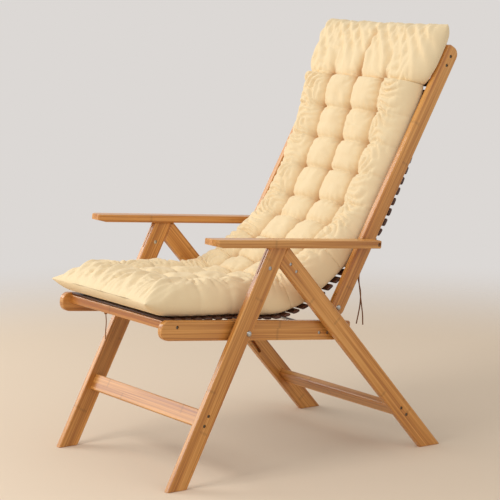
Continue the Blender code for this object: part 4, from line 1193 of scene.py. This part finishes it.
    def thread_knots(self, rows: range) -> list[Shell]:
        """Small thread knots in the tufts of some rows: ellipsoids, half sunk."""
        latitude = np.linspace(0.12, math.pi - 0.12, 6)
        turn = np.linspace(0, 2 * math.pi, 8, endpoint=False)
        knots = []
        for row in rows:
            for column in (-1, 0, 1):
                x = column * self.cell
                s = np.array([self.rows[row]])
                placed = self.layout.sling.at(s, window=self.direction_window)
                spot, way, normal = (array[0] for array in placed)
                height = self.tuft_loft - self.pit_depth * (self.loft - self.tuft_loft)
                height = height + self.layout.slat_thickness / 2
                height = height + self.lift + self.thread_radius * 0.6
                centre = spot + normal * height
                ring = np.sin(latitude)[:, None]
                lateral = x + np.cos(turn)[None, :] * ring * self.thread_radius * 1.3
                level = np.cos(latitude)[:, None] * np.ones_like(turn)[None, :] * self.thread_radius * 0.8
                ahead = np.sin(turn)[None, :] * ring * self.thread_radius
                side = centre + way * ahead[..., None] + normal * level[..., None]
                shell = tube(np.concatenate([lateral[..., None], side], axis=-1)).turned_out()
                shell.cloth = np.zeros((len(shell.vertices), 2))
                # Painted shade: a fixed share of the cloth's painted shade darkens the knots, as shade in the
                # tufts' pits.
                shell.valley = np.full(len(shell.vertices), 0.75)
                knots.append(shell)
        return knots

    def build(self, cloth: bpy.types.Material) -> None:
        """Make the parts: those at the crease ride on no body and are not bent with the back, and the others
        are not flattened as the legs fold.
        """
        crease = self.crease_row
        last = len(self.rows) - 1
        plans = [("seat_pad", 0, crease - 1, "seat_cushion", Body.SEAT, None),
                 ("crease_pad_lower", crease - 1, crease, "seat_cushion", None, (Body.SEAT, Body.HINGE)),
                 ("crease_pad_upper", crease, crease + 1, "back_cushion", None, (Body.HINGE, Body.BACK)),
                 ("back_pad", crease + 1, last - 1, "back_cushion", Body.BACK, None),
                 ("head_roll", last - 1, last, "head_pillow", Body.BACK, None)]
        for name, low, high, node, body, pair in plans:
            item = self.part(low, high).piece(name, cloth, body)
            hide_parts(node)
            if pair is not None:
                bend(item, pair, self.layout.sling, self.rows[low], self.rows[high])
                continue
            middle = np.array([(self.rows[low] + self.rows[high]) / 2])
            spot, _, normal = (array[0] for array in self.layout.sling.at(middle))
            rises = (self.layout.sling.spot(np.linspace(self.rows[low], self.rows[high], 20)) - spot) @ normal
            anchor = spot + normal * (rises.max() + self.folded_lift)
            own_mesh(item)


@dataclass
class Ties:
    """Hanging ends of the cushion's ribbons, and the ribbon colour of their bands."""

    layout: Layout
    width: float = 0.005
    thickness: float = 0.0011
    spread: float = 0.003
    rear_slat: int = 21
    rear_place: float = 0.221
    front_reach: float = 0.102
    seat_rail_depth: float = 0.050
    band_thickness: float = 0.001
    band_width: float = 0.008
    knot_radius: float = 0.005
    knot_share: float = 0.85
    rear_routes: tuple = (
        ((0.0, 0.0), (-0.001, -0.020), (-0.003, -0.041), (0.005, -0.080), (0.004, -0.114), (-0.002, -0.142),
         (-0.008, -0.165)),
        ((0.0, 0.0), (-0.003, -0.020), (-0.005, -0.041), (-0.001, -0.080), (0.004, -0.114), (0.008, -0.142),
         (0.009, -0.169)))
    front_route: tuple = ((0.0, 0.0), (0.001, -0.020), (-0.001, -0.042), (-0.002, -0.066))

    def end(self, name: str, node: str, start: np.ndarray, steps: tuple, x: float, body: Body,
            cloth: bpy.types.Material) -> None:
        """One ribbon end: a flat rounded section carried down its route.

        Args:
            name: the piece's name.
            node: the node it stands for.
            start: where it leaves the knot.
            steps: its route, as steps from the start.
            x: its place across.
            body: what it rides on.
            cloth: its material.
        """
        route = Route([start + np.array(step) for step in steps])
        length = float(route.lengths[-1])
        stations = np.linspace(0.0, length, max(18, int(length / 0.004)))
        spot, way, normal = route.at(stations, window=0.001)
        spot[0], spot[-1] = start, route.points[-1]
        turn = np.linspace(0, 2 * math.pi, 12, endpoint=False)
        wide = np.sign(np.cos(turn)) * np.abs(np.cos(turn)) ** 0.6 * self.width / 2
        thin = np.sin(turn) * self.thickness / 2
        side = spot[:, None, :] + normal[:, None, :] * thin[None, :, None]
        lateral = np.broadcast_to((x + wide)[None, :, None], side.shape[:2] + (1,))
        shell = tube(np.concatenate([lateral, side], axis=-1)).turned_out()
        shell.cloth = np.stack(np.broadcast_arrays(wide[None, :], stations[:, None]), axis=-1).reshape(-1, 2)
        # Painted shade: a fixed share of the ribbon's shade colour darkens the hanging ends, as shade behind
        # the rails; the bands get none.
        shell.valley = np.full(len(shell.vertices), 0.55)
        item = shell.piece(name, cloth, body)
        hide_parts(node)

    def slat_band(self, spot: np.ndarray, way: np.ndarray, normal: np.ndarray, reach_out: float) -> Shell:
        """A band round a slat's end, a closed ring of ellipses on a superellipse, and a ball for its knot.

        Args:
            spot: the slat's centre.
            way: along the sling there.
            normal: upward from the slat there.
            reach_out: how far the knot's centre lies from the slat.

        Returns:
            Both in one shell.
        """
        rings, count = 36, 10
        section = np.linspace(0, 2 * math.pi, count, endpoint=False)[None, :]
        off = self.layout.gap + self.band_thickness / 2 * (1 + np.sin(section))
        a, b = superellipse(np.linspace(0, 2 * math.pi, rings, endpoint=False)[:, None], 3.4)
        a = a * (self.layout.slat_width / 2 + off)
        b = b * (self.layout.slat_thickness / 2 + off)
        side = spot + way * a[..., None] + normal * b[..., None]
        lateral = np.broadcast_to(self.rear_place + np.cos(section) * self.band_width / 2, a.shape)
        grid = np.concatenate([lateral[..., None], side], axis=-1)
        ring = Shell(grid.reshape(-1, 3), tube_quads(rings + 1, count) % (rings * count)).turned_out()
        latitude = np.linspace(0.15, math.pi - 0.15, 8)[:, None]
        turn = np.linspace(0, 2 * math.pi, 12, endpoint=False)[None, :]
        centre = np.array([self.rear_place, *(spot - normal * (self.layout.slat_thickness / 2 + reach_out))])
        level = np.cos(latitude) + 0 * turn
        ball = np.stack([np.sin(latitude) * np.cos(turn), np.sin(latitude) * np.sin(turn), level], axis=-1)
        return merged([ring, tube(centre + ball * self.knot_radius).turned_out()])

    def build(self, nodes: dict[str, bpy.types.Object], cloth: bpy.types.Material) -> None:
        """Make the ribbon ends and dress the bands."""
        middle = (self.layout.rail_inside + self.layout.rail_outside) / 2
        hang = np.array([0.0, -self.knot_radius - self.layout.gap])
        reach_out = self.layout.gap + self.band_thickness + self.knot_radius * self.knot_share
        station = self.layout.slat_stations()[self.rear_slat:self.rear_slat + 1]
        spot, way, normal = (array[0] for array in self.layout.sling.at(station))
        rear = spot - normal * (self.layout.slat_thickness / 2 + reach_out) + hang
        band = self.slat_band(spot, way, normal, reach_out).piece("rear_ribbon_band", cloth, Body.BACK)
        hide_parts("rear_tie_band")
        for index, steps in enumerate(self.rear_routes):
            place = self.rear_place + self.spread * (2 * index - 1)
            word = index + 1
            self.end(f"rear_ribbon_{word}", f"rear_tie_end_{word}", rear, steps, place, Body.BACK, cloth)
        front = self.layout.seat.at(self.front_reach, self.seat_rail_depth / 2 + reach_out) + hang
        self.end("front_ribbon", "front_tie_end_1", front, self.front_route, -middle, Body.SEAT, cloth)
        assign(nodes["front_tie_band"], cloth)


@dataclass(frozen=True)
class Lamp:
    """A square soft lamp: its name, where it hangs, the height it aims at, its side and its watts."""

    name: str
    place: tuple[float, float, float]
    aim_height: float
    size: float
    power: float

    def build(self) -> None:
        """Hang the lamp and turn it to the lounger's middle."""
        data = bpy.data.lights.new(self.name, "AREA")
        data.shape = "SQUARE"
        data.size = self.size
        data.energy = self.power
        item = bpy.data.objects.new(self.name, data)
        item.location = self.place
        back = np.array(self.place) - np.array([0.0, 0.0, self.aim_height])
        back = back / np.linalg.norm(back)
        item.rotation_euler = (math.acos(back[2]), 0.0, math.atan2(back[1], back[0]) + math.pi / 2)
        bpy.context.collection.objects.link(item)


@dataclass
class Studio:
    """Floor, background, lamps and the camera at the photograph's viewing angle."""

    back_pivot: float
    camera_x: float = 4.2952
    camera_before_pivot: float = 3.06794
    camera_height: float = 1.3358
    azimuth: float = 55.38
    elevation: float = 8.77
    lens: float = 143.5
    floor_colour: tuple[float, float, float] = pigment(228, 208, 184)
    wall_colour: tuple[float, float, float] = pigment(220, 216, 213)
    floor_reach: float = 3.4
    fade_start: float = 1.5
    fade_end: float = 3.2
    world_strength: float = 0.58
    lamps: tuple[Lamp, ...] = (Lamp("key", (0.4, -3.2, 2.9), 0.5, 1.6, 58.0),
                               Lamp("window", (-2.9, -2.0, 2.1), 0.6, 2.2, 56.0),
                               Lamp("fill", (3.4, 0.6, 2.4), 0.5, 2.4, 17.0))

    def camera(self) -> None:
        """Put the camera where the fit of the photograph found it."""
        data = bpy.data.cameras.new("camera")
        data.lens = self.lens
        data.sensor_width = 36.0
        item = bpy.data.objects.new("camera", data)
        item.location = (self.camera_x, self.back_pivot - self.camera_before_pivot, self.camera_height)
        item.rotation_euler = (math.radians(90 - self.elevation), 0.0, math.radians(self.azimuth))
        bpy.context.collection.objects.link(item)
        bpy.context.scene.camera = item

    def floor(self) -> None:
        """A level square floor round the lounger."""
        signs = np.array([[-1.0, -1.0, 0.0], [1.0, -1.0, 0.0], [1.0, 1.0, 0.0], [-1.0, 1.0, 0.0]])
        item = Shell(signs * self.floor_reach, np.array([[0, 1, 2, 3]])).piece("floor", self.floor_finish())

    def floor_finish(self) -> bpy.types.Material:
        """Matt paint that thins out with distance, so that the floor passes into the background."""
        bench = Bench(bpy.data.materials.new("studio_paint"))
        place = bench.place()
        x = bench.along(place, (1.0, 0.0, 0.0))
        y = bench.along(place, (0.0, 1.0, 0.0))
        away = (x * x + y * y).power(0.5)
        bench.feed(bench.shader.inputs["Alpha"], 1.0 - away.spread(self.fade_start, self.fade_end))
        return bench.finish(self.floor_colour, 0.9, Specular_IOR_Level=0.1)

    def background(self) -> None:
        """White light from all round; the eye, and what is mirrored, meets the wall's colour."""
        bench = Bench(bpy.data.worlds.new("studio"), "Background")
        seen = bench.value("ShaderNodeLightPath", output="Is Camera Ray")
        seen = seen + bench.value("ShaderNodeLightPath", output="Is Glossy Ray")
        seen = seen + bench.value("ShaderNodeLightPath", output="Is Transmission Ray")
        colour = bench.mix(seen, (self.world_strength,) * 3, self.wall_colour)
        bench.feed(bench.shader.inputs["Color"], colour)
        bpy.context.scene.world = bench.owner

    def build(self) -> None:
        """Set up the studio."""
        self.floor()
        self.background()
        for lamp in self.lamps:
            lamp.build()
        bpy.context.scene.view_settings.view_transform = "Standard"


def main() -> None:
    """Load the frame, dress it and set the stage."""
    logging.basicConfig(level=logging.INFO, format="%(message)s")
    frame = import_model()
    nodes = frame["nodes"]
    pivots = {joint["name"]: np.array(joint["pos_m"][1:]) for joint in frame["joints"]}
    studio = Studio(float(pivots["recline"][0]))
    studio.camera()
    layout = Layout(pivots["seat_fold"], pivots["recline"])
    cloth = CottonCover().material("cotton_cover")
    # The ribbon's second colour is its painted shade colour, used on the ribbon ends.
    ribbon = CottonCover(pigment(158, 104, 58), pigment(120, 74, 36)).material("tan_ribbon")
    Ties(layout).build(nodes, ribbon)
    Boards(layout).dress(nodes)
    steel = PlatedSteel().material("zinc_plate")
    # Painted shade: the screws outside the plates get a darker, browner steel that stands for the shade in
    # their recessed bores.
    shaded_screw_steel = PlatedSteel(pigment(120, 110, 96), pigment(74, 64, 52), 0.4).material("shaded_screw_steel")
    for name, node in nodes.items():
        if "screw" in name and "plate" not in name:
            assign(node, shaded_screw_steel)
        elif any(word in name for word in ("bolt", "plate", "rod")):
            assign(node, steel)
    SlatMat(layout).build(StainedSlat().material("stained_slats"))
    Cushion(layout).build(cloth)
    studio.build()


if __name__ == "__main__":
    main()
